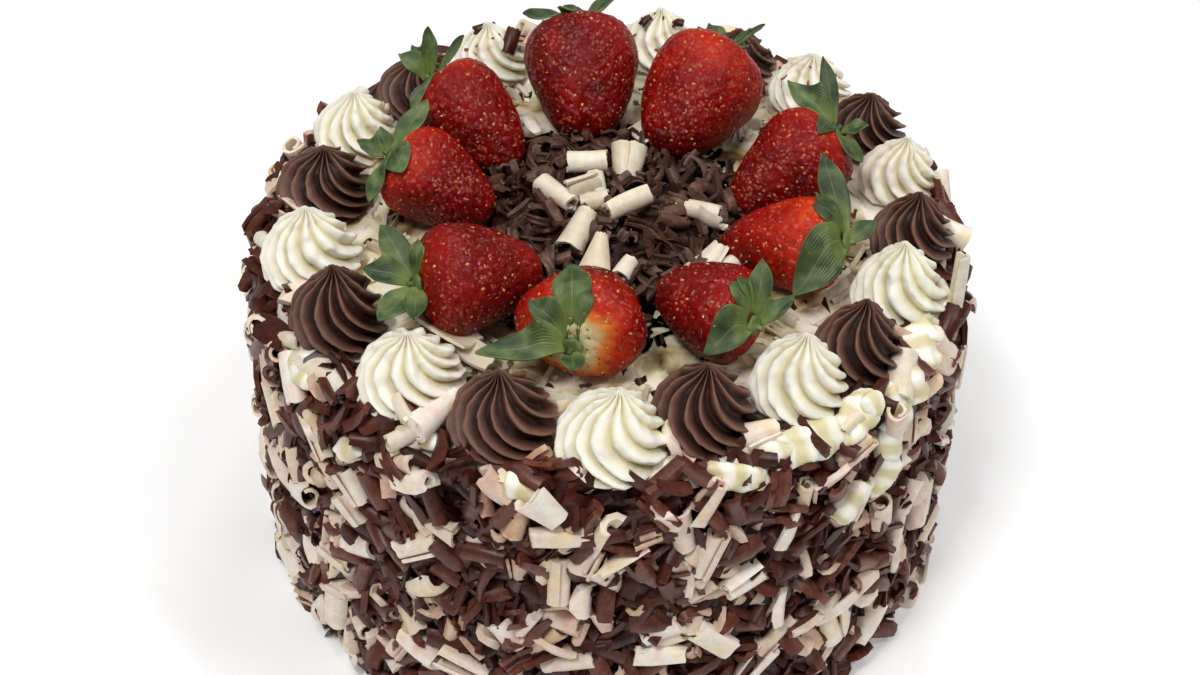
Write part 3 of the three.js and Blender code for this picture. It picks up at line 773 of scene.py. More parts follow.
# Shavings are thin sheets of chocolate, rolled up more or less, each with its own tone
def rolledShaving(length, width, thickness, arc, growth=0.0, along=3, across=4, ragged=0.6,
                  bend=0.0, taper=0.15, pointed=0.0, cone=0.0, seed=0):
    # lies along +X, rolled round X through arc; its outer face looks to +Z
    random = np.random.default_rng(seed)
    u = np.linspace(-0.5, 0.5, along + 1)[:, None]
    v = np.linspace(-0.5, 0.5, across + 1)[None, :]
    turn = math.radians(arc)
    mean = width / turn
    narrow = (1 - taper * np.abs(2 * u) ** 2 * random.uniform(0.5, 1.5)) * (1 - pointed * (u + 0.5))
    rise = mean * (1 + math.cos(min(turn, math.pi) / 2)) / 2
    ends = ragged * random.uniform(-1, 1, (2, across + 1))
    x = u * length + np.where(u < 0, ends[:1], ends[1:]) * np.abs(2 * u) ** 3
    layers = []
    for side in (0.5, -0.5):
        r = mean * (1 + growth * v) * (1 - cone * u) + side * thickness
        y = r * np.sin(v * turn * narrow)
        z = r * np.cos(v * turn * narrow) - rise + bend * (1 - 4 * u * u)
        layers.append(np.stack([x * np.ones_like(y), y, z * np.ones_like(y)], 2).reshape(-1, 3))
    return closedSheet(*layers, gridFaces(along + 1, across + 1))


def shapeSet(name, shapes):
    # a collection of small source shapes that a scatter picks from
    group = bpy.data.collections.new(name)
    for k, (points, faces) in enumerate(shapes):
        group.objects.link(meshObject(f"{name}Shape{k}", points, faces))
    return group


def newTree(name, labels):
    # a Geometry Nodes tree, with its named inputs as sockets
    kinds = {"Geometry": "Geometry", "Shapes": "Collection", "Material": "Material", "Seed": "Int",
             "Shape Count": "Int"}
    tree = bpy.data.node_groups.new(name, "GeometryNodeTree")
    for label in labels:
        tree.interface.new_socket(label, in_out="INPUT", socket_type="NodeSocket" + kinds.get(label, "Float"))
    tree.interface.new_socket("Geometry", in_out="OUTPUT", socket_type="NodeSocketGeometry")
    return tree, addNode(tree, "NodeGroupInput").outputs


def randomNumber(tree, given, lowest, highest):
    # a number for each piece between two of the inputs
    return addNode(tree, "FunctionNodeRandomValue", {"data_type": "FLOAT"},
                   {2: given[lowest], 3: given[highest], "Seed": given["Seed"]}).outputs[1]


def scaled(tree, vector, scale):
    return addNode(tree, "ShaderNodeVectorMath", {"operation": "SCALE"}, {0: vector, "Scale": scale})


def finishTree(tree, given, placed):
    # every copy gets its tone, and all become one plain mesh with the material
    kept = addNode(tree, "GeometryNodeStoreNamedAttribute", {
        "data_type": "FLOAT", "domain": "INSTANCE", "Name": "tone"},
        {"Geometry": placed, "Value": randomNumber(tree, given, "Darkest Tone", "Lightest Tone")})
    real = addNode(tree, "GeometryNodeRealizeInstances", {}, {"Geometry": kept})
    dressed = addNode(tree, "GeometryNodeSetMaterial", {},
                      {"Geometry": real, "Material": given["Material"]})
    addNode(tree, "NodeGroupOutput", {}, {"Geometry": dressed})
    return tree


def makeScatterTree():
    # shapes scattered over a surface, denser where a slow noise is high or low
    tree, given = newTree("scatterShavings", (
        "Geometry", "Shapes", "Shape Count", "Material", "Spacing", "Seed", "Patch Size",
        "Share In Low Patches", "Share In High Patches", "Lowest Lift", "Highest Lift", "Roll", "Tilt",
        "Spin", "Smallest", "Largest", "Darkest Tone", "Lightest Tone"))
    position = addNode(tree, "GeometryNodeInputPosition")
    slow = addNode(tree, "ShaderNodeTexNoise", {"Detail": 2.0},
                   {"Vector": position, "Scale": given["Patch Size"]})
    share = addNode(tree, "ShaderNodeMapRange", {"From Min": 0.42, "From Max": 0.58},
                    {"Value": slow, "To Min": given["Share In Low Patches"],
                     "To Max": given["Share In High Patches"]})
    spots = addNode(tree, "GeometryNodeDistributePointsOnFaces", {
        "distribute_method": "POISSON", "Density Max": 4000000.0},
        {"Mesh": given["Geometry"], "Distance Min": given["Spacing"], "Seed": given["Seed"],
         "Density Factor": share})
    normal = spots.outputs["Normal"]
    rise = scaled(tree, normal, randomNumber(tree, given, "Lowest Lift", "Highest Lift"))
    raised = addNode(tree, "GeometryNodeSetPosition", {}, {"Geometry": spots, "Offset": rise})
    # turned at random about its own length, end up and down, and round the surface's normal
    limits = addNode(tree, "ShaderNodeCombineXYZ", {},
                     {"X": given["Roll"], "Y": given["Tilt"], "Z": given["Spin"]})
    backwards = addNode(tree, "ShaderNodeVectorMath", {"operation": "SCALE", "Scale": -1.0}, {0: limits})
    angles = addNode(tree, "FunctionNodeRandomValue", {"data_type": "FLOAT_VECTOR"},
                     {0: backwards, 1: limits, "Seed": given["Seed"]})
    toRotation = addNode(tree, "FunctionNodeEulerToRotation", {}, {0: angles})
    across = addNode(tree, "ShaderNodeVectorMath", {"operation": "CROSS_PRODUCT", 0: (0.0, 0.0, 1.0)},
                     {1: normal})
    facing = addNode(tree, "FunctionNodeAlignRotationToVector", {"axis": "Z"}, {"Vector": normal})
    level = addNode(tree, "FunctionNodeAlignRotationToVector", {"axis": "X", "pivot_axis": "Z"},
                    {"Rotation": facing, "Vector": across})
    turned = addNode(tree, "FunctionNodeRotateRotation", {"rotation_space": "LOCAL"},
                     {"Rotation": level, "Rotate By": toRotation})
    lastShape = addNode(tree, "ShaderNodeMath", {"operation": "SUBTRACT", 1: 1.0},
                        {0: given["Shape Count"]})
    chosen = addNode(tree, "FunctionNodeRandomValue", {"data_type": "INT", 4: 0},
                     {5: lastShape, "Seed": given["Seed"]})
    shapes = addNode(tree, "GeometryNodeCollectionInfo", {
        "Separate Children": True, "Reset Children": True}, {"Collection": given["Shapes"]})
    placed = addNode(tree, "GeometryNodeInstanceOnPoints", {"Pick Instance": True},
                     {"Points": raised, "Instance": shapes, "Instance Index": chosen.outputs[2],
                      "Rotation": turned, "Scale": randomNumber(tree, given, "Smallest", "Largest")})
    return finishTree(tree, given, placed)


scatterTree = makeScatterTree()


def runTree(bed, tree, values, name):
    # runs the tree on an object that isn't in the scene yet, and adds the pieces as a plain mesh
    modifier = bed.modifiers.new("tree", "NODES")
    modifier.node_group = tree
    for item in tree.interface.items_tree:
        if item.in_out == "INPUT" and item.name in values:
            modifier[item.identifier] = values[item.name]
    linked(bed)
    depsgraph = bpy.context.evaluated_depsgraph_get()
    mesh = bpy.data.meshes.new_from_object(bed.evaluated_get(depsgraph), depsgraph=depsgraph)
    mesh.name = name
    mesh.polygons.foreach_set("use_smooth", [True] * len(mesh.polygons))
    bpy.data.objects.remove(bed)
    print("stage:", name, len(mesh.polygons), "faces")
    return linked(bpy.data.objects.new(name, mesh))


def scatter(name, points, faces, shapes, material, s, seed):
    # shavings over a bed of faces; s holds their spacing, lift, turns, sizes and tones
    values = {
        "Shapes": shapes, "Shape Count": len(shapes.objects), "Material": material, "Seed": seed,
        "Spacing": s["spacing"] * mm, "Patch Size": 1 / (s["patch"] * mm),
        "Share In Low Patches": s["lowShare"], "Share In High Patches": s["highShare"],
        "Lowest Lift": s["lowLift"] * mm, "Highest Lift": s["highLift"] * mm,
        "Smallest": s["smallest"], "Largest": s["largest"],
        "Darkest Tone": s["darkest"], "Lightest Tone": s["lightest"],
    }
    values.update({label: math.radians(s[label.lower()]) for label in ("Roll", "Tilt", "Spin")})
    thing = runTree(meshObject(name + "Bed", points, faces), scatterTree, values, name)
    thing.data.set_sharp_from_angle(angle=sharpAngle)
    return thing


def keepInside(thing, lowest, proud):
    # presses stray ends gently back above the floor, and within a reach that follows the body
    mesh = thing.data
    places = np.zeros(len(mesh.vertices) * 3, np.float32)
    mesh.vertices.foreach_get("co", places)
    places = places.reshape(-1, 3)
    places[:, 2] = np.maximum(places[:, 2], lowest * mm)
    flat = np.hypot(places[:, 0], places[:, 1])
    start = (bodyRadius(places[:, 2] / mm) + proud * 0.6) * mm
    span = max(proud * 0.4, 0.1) * mm
    pressed = np.where(flat > start, start + span * np.tanh((flat - start) / span), flat)
    places[:, :2] *= (pressed / np.maximum(flat, 1e-6))[:, None]
    mesh.vertices.foreach_set("co", places.ravel())
    mesh.update()


# The coating of the side, one piece for each kind of shaving
coating = {
    "floor": 0.3, "lowest": 2.5, "rimStart": 101.0, "proud": 9.3, "patch": 15.0,
    "rosetteClearance": 12.6, "sideRows": 24, "columns": 240,
    "rim": [(94.2, 103.4), (92.6, 104.8), (90.0, 105.1), (87.0, 105.1), (84.0, 105.1)],
}
darkShards = {"spacing": 4.4, "lowShare": 1.0, "highShare": 0.8, "lowLift": 0.2, "highLift": 2.2,
              "roll": 70, "tilt": 30, "spin": 180, "smallest": 0.9, "largest": 1.3,
              "darkest": 0.0, "lightest": 0.7}
darkCurls = {"spacing": 5.2, "lowShare": 1.0, "highShare": 0.6, "lowLift": 1.4, "highLift": 4.6,
             "roll": 180, "tilt": 38, "spin": 180, "smallest": 0.8, "largest": 1.2,
             "darkest": 0.05, "lightest": 0.9}
paleCurls = {"spacing": 9.4, "lowShare": 0.13, "highShare": 0.75, "lowLift": 2.6, "highLift": 4.6,
             "roll": 180, "tilt": 20, "spin": 180, "smallest": 0.75, "largest": 1.15,
             "darkest": 0.2, "lightest": 0.95}
paleShards = {"spacing": 8.2, "lowShare": 0.12, "highShare": 0.7, "lowLift": 2.2, "highLift": 4.8,
              "roll": 180, "tilt": 30, "spin": 180, "smallest": 0.8, "largest": 1.2,
              "darkest": 0.05, "lightest": 0.95}
sideCrumbs = {"spacing": 5.4, "lowShare": 0.9, "highShare": 0.5, "lowLift": 1.0, "highLift": 4.0,
              "roll": 180, "tilt": 60, "spin": 180, "smallest": 0.6, "largest": 1.2,
              "darkest": 0.0, "lightest": 0.7}


def sideBed():
    # the side and the top rim, left bare where a rosette stands
    c = coating
    columns = c["columns"]
    profile = [(bodyRadius(z), z) for z in np.linspace(c["lowest"], c["rimStart"], c["sideRows"])]
    profile += c["rim"]
    points = np.array([[r * math.cos(a), r * math.sin(a), z]
                       for r, z in profile for a in ringAngles(columns)])
    feet = np.array([place[:2] for place in ringPlaces()])
    faces = []
    for r in range(len(profile) - 1):
        for k in range(columns):
            n = (k + 1) % columns
            face = (r * columns + k, r * columns + n, (r + 1) * columns + n, (r + 1) * columns + k)
            middle = points[list(face)].mean(0)
            free = np.linalg.norm(feet - middle[:2], axis=1).min() > c["rosetteClearance"]
            if middle[2] < c["rimStart"] or free:
                faces.append(face)
    return points, faces


def buildCoating():
    darkRolls = shapeSet("darkCurl", [
        rolledShaving(10.0, 7.5, 1.3, 230, across=5, seed=1, ragged=0.4, bend=0.5),
        rolledShaving(8.5, 6.0, 1.5, 190, seed=2, ragged=0.5, bend=-0.4),
        rolledShaving(12.0, 5.5, 1.5, 150, seed=3, ragged=0.4, bend=1.2, pointed=0.3),
        rolledShaving(9.5, 9.5, 1.1, 330, growth=0.3, across=7, seed=5, ragged=0.5),
        rolledShaving(7.5, 5.0, 1.7, 120, seed=6, ragged=0.5, pointed=0.4),
    ])
    darkPlates = shapeSet("darkShard", [
        rolledShaving(9.0, 4.8, 2.0, 110, seed=7, ragged=0.4, pointed=0.3),
        rolledShaving(7.0, 4.4, 2.2, 90, seed=8, ragged=0.4),
        rolledShaving(11.0, 4.2, 1.9, 120, seed=9, ragged=0.4, bend=1.0, pointed=0.2),
        rolledShaving(8.0, 5.6, 1.8, 140, seed=10, ragged=0.5, bend=-0.4, taper=0.4),
        rolledShaving(6.0, 4.4, 2.2, 90, seed=15, ragged=0.4, pointed=0.4),
    ])
    paleRolls = shapeSet("paleCurl", [
        rolledShaving(12.0, 19.0, 1.0, 430, growth=0.7, across=14, ragged=0.3, taper=0, seed=11),
        rolledShaving(14.5, 17.0, 0.9, 400, growth=0.6, across=13, ragged=0.3, taper=0, seed=12),
        rolledShaving(9.0, 21.0, 1.0, 470, growth=0.8, across=15, ragged=0.3, taper=0, cone=0.5, seed=13),
        rolledShaving(13.0, 14.0, 1.0, 300, growth=0.4, across=10, ragged=0.4, taper=0, cone=0.5, seed=14),
    ])
    palePlates = shapeSet("paleShard", [
        rolledShaving(10.0, 9.0, 1.8, 180, seed=21, ragged=0.3, bend=0.6, pointed=0.4),
        rolledShaving(12.5, 9.5, 1.6, 210, across=5, seed=22, ragged=0.4, bend=0.8, cone=0.4),
        rolledShaving(8.5, 7.5, 2.0, 130, seed=23, ragged=0.4, taper=0.4),
        rolledShaving(9.5, 11.0, 1.5, 270, seed=24, across=6, ragged=0.3, bend=-0.5),
        rolledShaving(11.0, 7.0, 1.8, 150, seed=25, ragged=0.3, bend=1.0, pointed=0.5),
        rolledShaving(7.0, 6.5, 2.1, 110, seed=26, ragged=0.4, pointed=0.3),
    ])
    crumbShapes = shapeSet("crumb", [
        rolledShaving(3.4, 1.8, 0.8, 60, along=2, across=2, seed=31, ragged=0.5),
        rolledShaving(4.6, 1.5, 0.7, 90, along=2, across=2, seed=32, ragged=0.4, bend=0.6),
        rolledShaving(2.4, 2.2, 1.0, 50, along=2, across=2, seed=33, ragged=0.5),
    ])
    points, faces = sideBed()
    kinds = (
        ("darkSideShards", darkPlates, darkChocolate, darkShards),
        ("darkSideCurls", darkRolls, darkChocolate, darkCurls),
        ("paleSideCurls", paleRolls, whiteChocolate, paleCurls),
        ("paleSideShards", palePlates, whiteChocolate, paleShards),
        ("sideCrumbs", crumbShapes, darkChocolate, sideCrumbs),
    )
    for seed, (name, shapes, material, sizes) in enumerate(kinds, 2):
        sizes = dict(sizes, patch=coating["patch"])
        thing = scatter(name, points, faces, shapes, material, sizes, seed)
        keepInside(thing, coating["floor"], coating["proud"])
        addPiece(thing, "shavings")
    return crumbShapes, palePlates, darkPlates


crumbShapes, palePlates, darkPlates = buildCoating()
print("stage: side coating done")

# The heap in the middle: a rough mound, with loose dark shavings on it and round it
heapSizes = {
    "radius": 35.0, "foot": 105.0, "height": 8.0, "fall": 0.45, "rows": 40, "columns": 120,
    "rough": 0.8, "roughLength": 2.6, "lumpLength": 7, "unevenness": 0.1, "shrink": 0.97,
    "skirt": (34.0, 40.0, 47.0), "floor": 105.2,
}
heapShavings = {"spacing": 3.0, "lowShare": 1.0, "highShare": 0.9, "lowLift": -0.5, "highLift": 3.6,
                "roll": 180, "tilt": 55, "spin": 180, "smallest": 0.75, "largest": 1.2,
                "darkest": 0.15, "lightest": 0.85, "patch": 12.0}


def heapHeight(x, y):
    s = heapSizes
    reach = math.hypot(x, y) / s["radius"]
    return s["foot"] + s["height"] * max(0.0, 1 - s["fall"] * reach ** 2)


def buildHeap():
    s = heapSizes
    angles = ringAngles(s["columns"])
    edge = s["radius"] * (1 + s["unevenness"] * (np.sin(3 * angles + 1) + np.sin(5 * angles)) / 2)
    points = [[edge[k] * math.cos(a), edge[k] * math.sin(a), s["foot"] + 0.1]
              for k, a in enumerate(angles)]
    for ring in np.linspace(1.0, 0.02, s["rows"]):
        for k, a in enumerate(angles):
            x, y = s["shrink"] * edge[k] * ring * math.cos(a), s["shrink"] * edge[k] * ring * math.sin(a)
            points.append([x, y, heapHeight(x, y)])
    points += [[0, 0, s["foot"] + 0.1], [0, 0, heapHeight(0, 0)]]
    points = np.array(points)
    rough = bumps(points, s["roughLength"], 9) * s["rough"]
    rough = rough + bumps(points, s["lumpLength"], 8) * s["rough"]
    onTop = points[:, 2] > s["foot"] + 1
    points[:, 2] += np.where(onTop, rough, 0)
    faces = latheFaces(s["rows"] + 1, s["columns"])
    mound = linked(meshObject("shavingMound", points, faces, [dullChocolate],
                              {"tone": 0.2 + 0.15 * bumps(points, 3, 7)}))
    addPiece(mound, "shavings", "centre_heap")
    shapes = shapeSet("heapCurl", [
        rolledShaving(8.0, 3.6, 0.7, 150, seed=41, bend=1.2),
        rolledShaving(9.5, 2.8, 0.7, 200, seed=42, along=5, bend=2.6, ragged=0.4),
        rolledShaving(6.5, 4.6, 0.7, 240, seed=43, ragged=0.8),
        rolledShaving(7.5, 2.2, 0.8, 90, seed=44, along=5, bend=-2.2),
        rolledShaving(5.5, 3.2, 0.8, 110, seed=45, ragged=0.8, bend=0.8),
        rolledShaving(4.5, 6.0, 0.6, 320, seed=46, growth=0.5, across=7, ragged=0.3),
    ])
    # the bed is the top of the mound, and the cake's top round it as far as the berries' middles
    upper = [f for f in faces if all(points[i][2] > s["foot"] + 1 for i in f)]
    skirt = np.array([around(turn, reach, s["foot"] + 0.3) for reach in s["skirt"]
                      for turn in range(0, 360, 6)])
    skirtFaces = [tuple(reversed(f)) for f in gridFaces(len(s["skirt"]), 60)]
    bed = joined([(points, upper, []), (skirt, skirtFaces, [])])[:2]
    thing = scatter("heapShavings", *bed, shapes, dullChocolate, heapShavings, 7)
    keepInside(thing, s["floor"], 0)
    addPiece(thing, "shavings")


buildHeap()

# Single shavings that the eye picks out, set one by one: place, the way the length points,
# how far one end rises, roll about the length, then length, width, arc, spiral growth and cone
ivoryCurls = [
    (-15, 1, 117.5, -48, 4, 30, 13, 17, 400, 0.7, 0.3), (-6, 10.8, 119.5, 4, 0, 90, 11, 18, 430, 0.7, 0),
    (-7, 3.5, 118, 20, 10, 200, 9, 14, 330, 0.5, 0.2), (-3, 4, 118.5, 100, 25, 0, 7, 16, 430, 0.7, 0),
    (-3.8, -1.4, 116.5, 5, 5, 40, 8, 13, 300, 0.5, 0),
    (4.9, -3.7, 117.5, 31, 5, 200, 13, 17, 430, 0.6, 0),
    (4.3, 15, 117.5, 85, 30, 0, 11, 8, 170, 0.2, -0.5),
    (7.8, 15, 117.5, 78, 30, 60, 10, 7, 150, 0.2, -0.5),
    (12.7, 35, 115.5, 37, 15, 170, 12, 10, 130, 0.2, 0.3),
    (25.7, -4.1, 116.5, -23, 5, 0, 10, 18, 440, 0.8, 0),
    (29, -7.5, 115.5, -49, 5, 120, 7, 9, 160, 0.3, 0.4), (17.2, -2, 115.5, 50, 25, 150, 6, 6, 80, 0, 0.7),
    (-6.7, -14.5, 117, 67, 20, 60, 13, 16, 330, 0.6, 0.5),
    (-1.4, -25.2, 117, 80, 25, 100, 13, 15, 320, 0.5, 1.1),
    (5.0, -28.0, 116.5, 60, 20, 0, 6, 16, 430, 0.8, 0.3),
    (27, -22, 114.5, 46, 10, 170, 11, 8, 120, 0.2, 0.5), (32.6, -22.5, 113.5, 31, 10, 0, 5, 5, 150, 0, 0),
    (-22.4, 38, 112, -71, 10, 0, 10, 4, 90, 0, 0.3),
]
rimPale = [
    (-43, -46, 113, -36, -8, 160, 22, 11, 50, 0, 0), (-34, -54, 110, -40, 0, 200, 12, 7, 60, 0, 0),
    (-72, -58, 106.8, -42, 0, 10, 20, 9, 70, 0, 0), (-58, -57, 107, 30, 10, 30, 16, 7, 80, 0, 0),
    (-47, -80, 108.2, 29, 5, 0, 15, 15, 420, 0.7, 0), (-51, -74.5, 108, 75, 20, 0, 5, 11, 400, 0.5, 0),
    (-83, -48, 108, -34, 20, 0, 9, 15, 440, 0.8, 0), (61, -75, 108, 40, 30, 0, 6, 11, 420, 0.6, 0),
    (93, -30, 112, 79, 70, 100, 19, 9, 200, 0.3, 0), (76, -58, 108, 78, 15, 0, 14, 9, 150, 0.3, 0),
    (-94, -10, 108, -59, 20, 0, 10, 10, 300, 0.4, 0), (33, -86, 106.5, 34, 5, 30, 14, 8, 60, 0, 0),
    (-20, -92, 106.5, 9, 0, 10, 12, 6, 60, 0, 0),
]
rimDark = [
    (14, -94, 107.5, 44, 10, 0, 12, 7, 200, 0.2, 0), (-88, -44, 106.6, -45, 10, 20, 14, 8, 60, 0, 0),
    (-95, 4, 108, -32, 30, 0, 12, 7, 120, 0, 0), (-93, 12, 107.5, 80, 20, 90, 10, 6, 90, 0, 0),
    (94, 12, 108, 100, 40, 60, 11, 6, 100, 0, 0), (90, -38, 107.5, 60, 30, 0, 10, 6, 120, 0, 0),
    (-30, 71.5, 118.5, 70, 35, 20, 8, 5, 150, 0.2, 0), (-39, 74, 121, 15, 10, 60, 5, 3, 120, 0, 0),
    (11, 81, 120, 40, 20, 0, 4, 2.5, 140, 0, 0), (21, 80, 120, -30, 20, 30, 3.5, 2.5, 140, 0, 0),
]
# on the side: turn from the front, height, spin from level, roll, then the same five
sidePale = [
    (-33.8, 85, -15, 0, 24, 9, 90, 0, 0), (-21.8, 77, 50, 0, 20, 8, 100, 0, 0),
    (-30, 50, -38, 10, 17, 11, 90, 0, 0), (-2.6, 90, 49, 90, 16, 17, 430, 0.7, 0),
    (18.5, 63, 8, 0, 24, 17, 420, 0.7, 0), (23, 56, -20, 40, 11, 14, 330, 0.5, 0),
    (45.5, 84, 20, 0, 16, 17, 430, 0.7, 0), (24.9, 89, 55, 0, 19, 16, 400, 0.6, 0),
]
sideDark = [
    (-8.8, 90, 80, 0, 7, 15, 400, 0.6, 0), (8, 98, 40, 0, 13, 9, 220, 0.3, 0),
    (-50, 92, 30, 0, 13, 8, 120, 0, 0), (12, 30, 10, 0, 14, 8, 160, 0, 0),
    (-15, 38, -30, 0, 12, 9, 200, 0.2, 0), (38, 60, 60, 0, 12, 8, 150, 0, 0),
]
singleSizes = {
    "thickness": 0.9, "ragged": 0.35, "along": 8, "across": 8, "rolledAcross": 18,
    "proud": 2.0, "rolledProud": 1.6,
    # a shaving with more than this arc shows as a roll, and one with less than the other as flat
    "rolled": 250, "flat": 100, "toneLength": 2.0,
}


def setShaving(spec, place, turned, seed, lightness):
    s = singleSizes
    length, width, arc, growth, cone = spec
    points, faces = rolledShaving(length, width, s["thickness"], arc, growth, along=s["along"],
                                  across=s["rolledAcross" if arc > s["rolled"] else "across"],
                                  ragged=s["ragged"],
                                  bend=0.6 if arc < 200 else 0.2, seed=seed,
                                  taper=0.35 if arc < s["flat"] else 0.05, cone=cone)
    points = points @ turned.T + place
    tone = np.random.default_rng(seed).uniform(*lightness) + 0.15 * bumps(points, s["toneLength"], seed)
    return points, faces, tone


def buildSingles():
    seed = 500
    kinds = {"ivory": [], "white": [], "dark": []}
    for kind, singles, lightness in (("ivory", ivoryCurls + rimPale, (0.35, 0.75)),
                                     ("dark", rimDark, (0.3, 0.8))):
        for x, y, z, heading, slope, roll, *spec in singles:
            turned = turning("Z", heading) @ turning("Y", -slope) @ turning("X", roll)
            kinds[kind].append(setShaving(spec, np.array([x, y, z]), turned, seed, lightness))
            seed += 1
    for kind, singles in (("white", sidePale), ("dark", sideDark)):
        for turn, height, spin, roll, *spec in singles:
            toSide = turning("Z", turn) @ turning("X", 90)
            turned = toSide @ turning("Z", spin) @ turning("X", roll)
            proud = singleSizes["rolledProud" if spec[2] > singleSizes["rolled"] else "proud"]
            place = around(turn - 90, bodyRadius(height) + proud, height)
            kinds[kind].append(setShaving(spec, place, turned, seed, (0.3, 0.8)))
            seed += 1
    for kind, material in (("ivory", ivoryChocolate), ("white", whiteChocolate), ("dark", darkChocolate)):
        points, faces, tone = joined(kinds[kind])
        piece = linked(meshObject(kind + "SingleShavings", points, faces, [material], {"tone": tone}))
        piece.data.set_sharp_from_angle(angle=sharpAngle)
        addPiece(piece, "shavings")


buildSingles()
print("stage: single shavings done")

# Dabs of white cream squeezed out under the rosettes and left on the side: turn from the front,
# reach, height, spin, lean outward, then length, width and thickness
creamDabs = [
    (64, 92.0, 107.0, 20, 0, 15, 11, 9), (59, 94.5, 106.5, 40, 15, 15, 11, 9),
    (54, 96.5, 105.0, 60, 35, 14, 10, 8), (49, 97.5, 101.0, 80, 70, 15, 10, 8),
    (47, 98.5, 92.0, 75, 85, 15, 9, 8), (71, 93.0, 107.0, 0, 10, 14, 10, 8),
    (33, 93.5, 105.5, 0, 25, 21, 11, 9), (41, 94.5, 105.5, 20, 20, 17, 11, 9),
    (27, 92.5, 105.5, -10, 20, 15, 10, 8), (20, 95.5, 104.0, -20, 45, 18, 7, 7),
    (43.5, 96.5, 108.0, 0, 30, 7, 7, 7), (-12, 96.5, 104.0, 0, 50, 13, 8, 6),
    (9, 90.5, 105.5, 10, 10, 11, 8, 6), (-41, 99.0, 96.0, 30, 80, 12, 6, 7),
    (-30, 92.0, 105.5, 10, 10, 14, 9, 6), (-54, 94.0, 105.2, 0, 20, 15, 10, 6),
    (46, 100.0, 84.0, 60, 88, 15, 10, 8), (39, 100.0, 82.0, 45, 88, 14, 9, 8),
    (-103, 93.0, 105.6, 0, 15, 15, 10, 7), (112, 93.0, 105.4, 0, 15, 16, 10, 7),
    (160, 94.0, 105.0, 0, 20, 17, 10, 7), (215, 94.0, 105.2, 10, 20, 15, 9, 7),
    (-128, 98.5, 98.0, 60, 75, 14, 9, 7), (140, 99.0, 94.0, 50, 82, 14, 9, 7),
]
dabSizes = {
    "rows": 26, "columns": 30, "ruffles": 0.45, "ruffleDepth": 0.05,
    # lumps in two sizes, as shares of the whole
    "lump": 0.4, "lumpLength": 5.0, "fine": 0.14, "fineLength": 2.0,
}


def creamDab(length, width, thickness, seed):
    # a squeezed lump with ruffles across its length
    s = dabSizes
    rows, columns = s["rows"], s["columns"]
    polar = np.linspace(0.06, math.pi - 0.06, rows)[:, None]
    angles = ringAngles(columns)[None, :]
    ruffle = np.sin(polar * length * s["ruffles"] + 0.9 * np.sin(angles + seed)
                    + 0.8 * np.sin(2 * polar + seed))
    swell = 1 + s["ruffleDepth"] * ruffle
    x = -np.cos(polar) * length / 2 * np.ones_like(angles)
    y = np.sin(polar) * swell * width / 2 * np.cos(angles)
    z = np.sin(polar) * swell * thickness / 2 * np.sin(angles)
    points = np.stack([x, y, z], 2).reshape(-1, 3)
    points = np.vstack([points, [[-length / 2, 0, 0], [length / 2, 0, 0]]])
    lumps = (bumps(points, s["lumpLength"], seed) * s["lump"]
             + bumps(points, s["fineLength"], seed + 9) * s["fine"])
    # groove darkens the hollows between the ruffles as painted shade and lightens the ruffles' crests
    groove = np.concatenate([(0.5 - 0.5 * ruffle * np.ones_like(angles)).ravel(), [0.5, 0.5]])
    return points * (1 + lumps)[:, None], latheFaces(rows, columns), groove


def buildCreamDabs():
    parts = []
    for seed, (turn, reach, height, spin, lean, length, width, thickness) in enumerate(creamDabs):
        points, faces, groove = creamDab(length, width, thickness, seed)
        turned = turning("Z", turn) @ turning("X", lean) @ turning("Z", spin)
        parts.append((points @ turned.T + around(turn - 90, reach, height), faces, groove))
    points, faces, groove = joined(parts)
    piece = linked(meshObject("creamDabs", points, faces, [whitePiped], {"groove": groove}))
    addPiece(piece, "white_cream")


buildCreamDabs()
print("stage: cream dabs done")

# Crumbs fallen on the rosettes at the back
rearCrumbs = {"spacing": 2.8, "lowShare": 0.0, "highShare": 0.4, "lowLift": 0.0, "highLift": 0.3,
              "roll": 180, "tilt": 20, "spin": 180, "smallest": 0.25, "largest": 0.5,
              "darkest": 0.5, "lightest": 1.1, "patch": 9.0, "rosettes": range(8, 13), "above": 111}


def buildRearCrumbs():
    s = rearCrumbs
    parts = []
    for points, faces in [rosetteForms[i] for i in s["rosettes"]]:
        parts.append((points, [f for f in faces if all(points[k][2] > s["above"] for k in f)], []))
    bed = joined(parts)[:2]
    addPiece(scatter("rearCrumbs", *bed, crumbShapes, darkChocolate, s, 8), "shavings")


# Flakes lying loose on the cream between the berries and the rosettes, most of them pale
ringFlakes = {"spacing": 4.4, "lowShare": 0.6, "highShare": 1.0, "lowLift": 0.8, "highLift": 2.6,
              "roll": 40, "tilt": 24, "spin": 180, "smallest": 0.7, "largest": 1.1,
              "darkest": 0.1, "lightest": 0.95, "patch": 10.0, "inner": 56.0, "outer": 72.0}


def buildRingFlakes():
    s = ringFlakes
    turns = range(0, 360, 3)
    points = np.array([around(turn, reach, cakeSizes["height"]) for reach in (s["outer"], s["inner"])
                       for turn in turns])
    faces = gridFaces(2, len(turns))
    for name, shapes, material, share, seed in (("ringPaleFlakes", palePlates, ivoryChocolate, 1.0, 21),
                                                ("ringDarkFlakes", darkPlates, darkChocolate, 0.7, 22)):
        sizes = dict(s, lowShare=s["lowShare"] * share, highShare=s["highShare"] * share)
        addPiece(scatter(name, points, faces, shapes, material, sizes, seed), "shavings")


buildRearCrumbs()
buildRingFlakes()


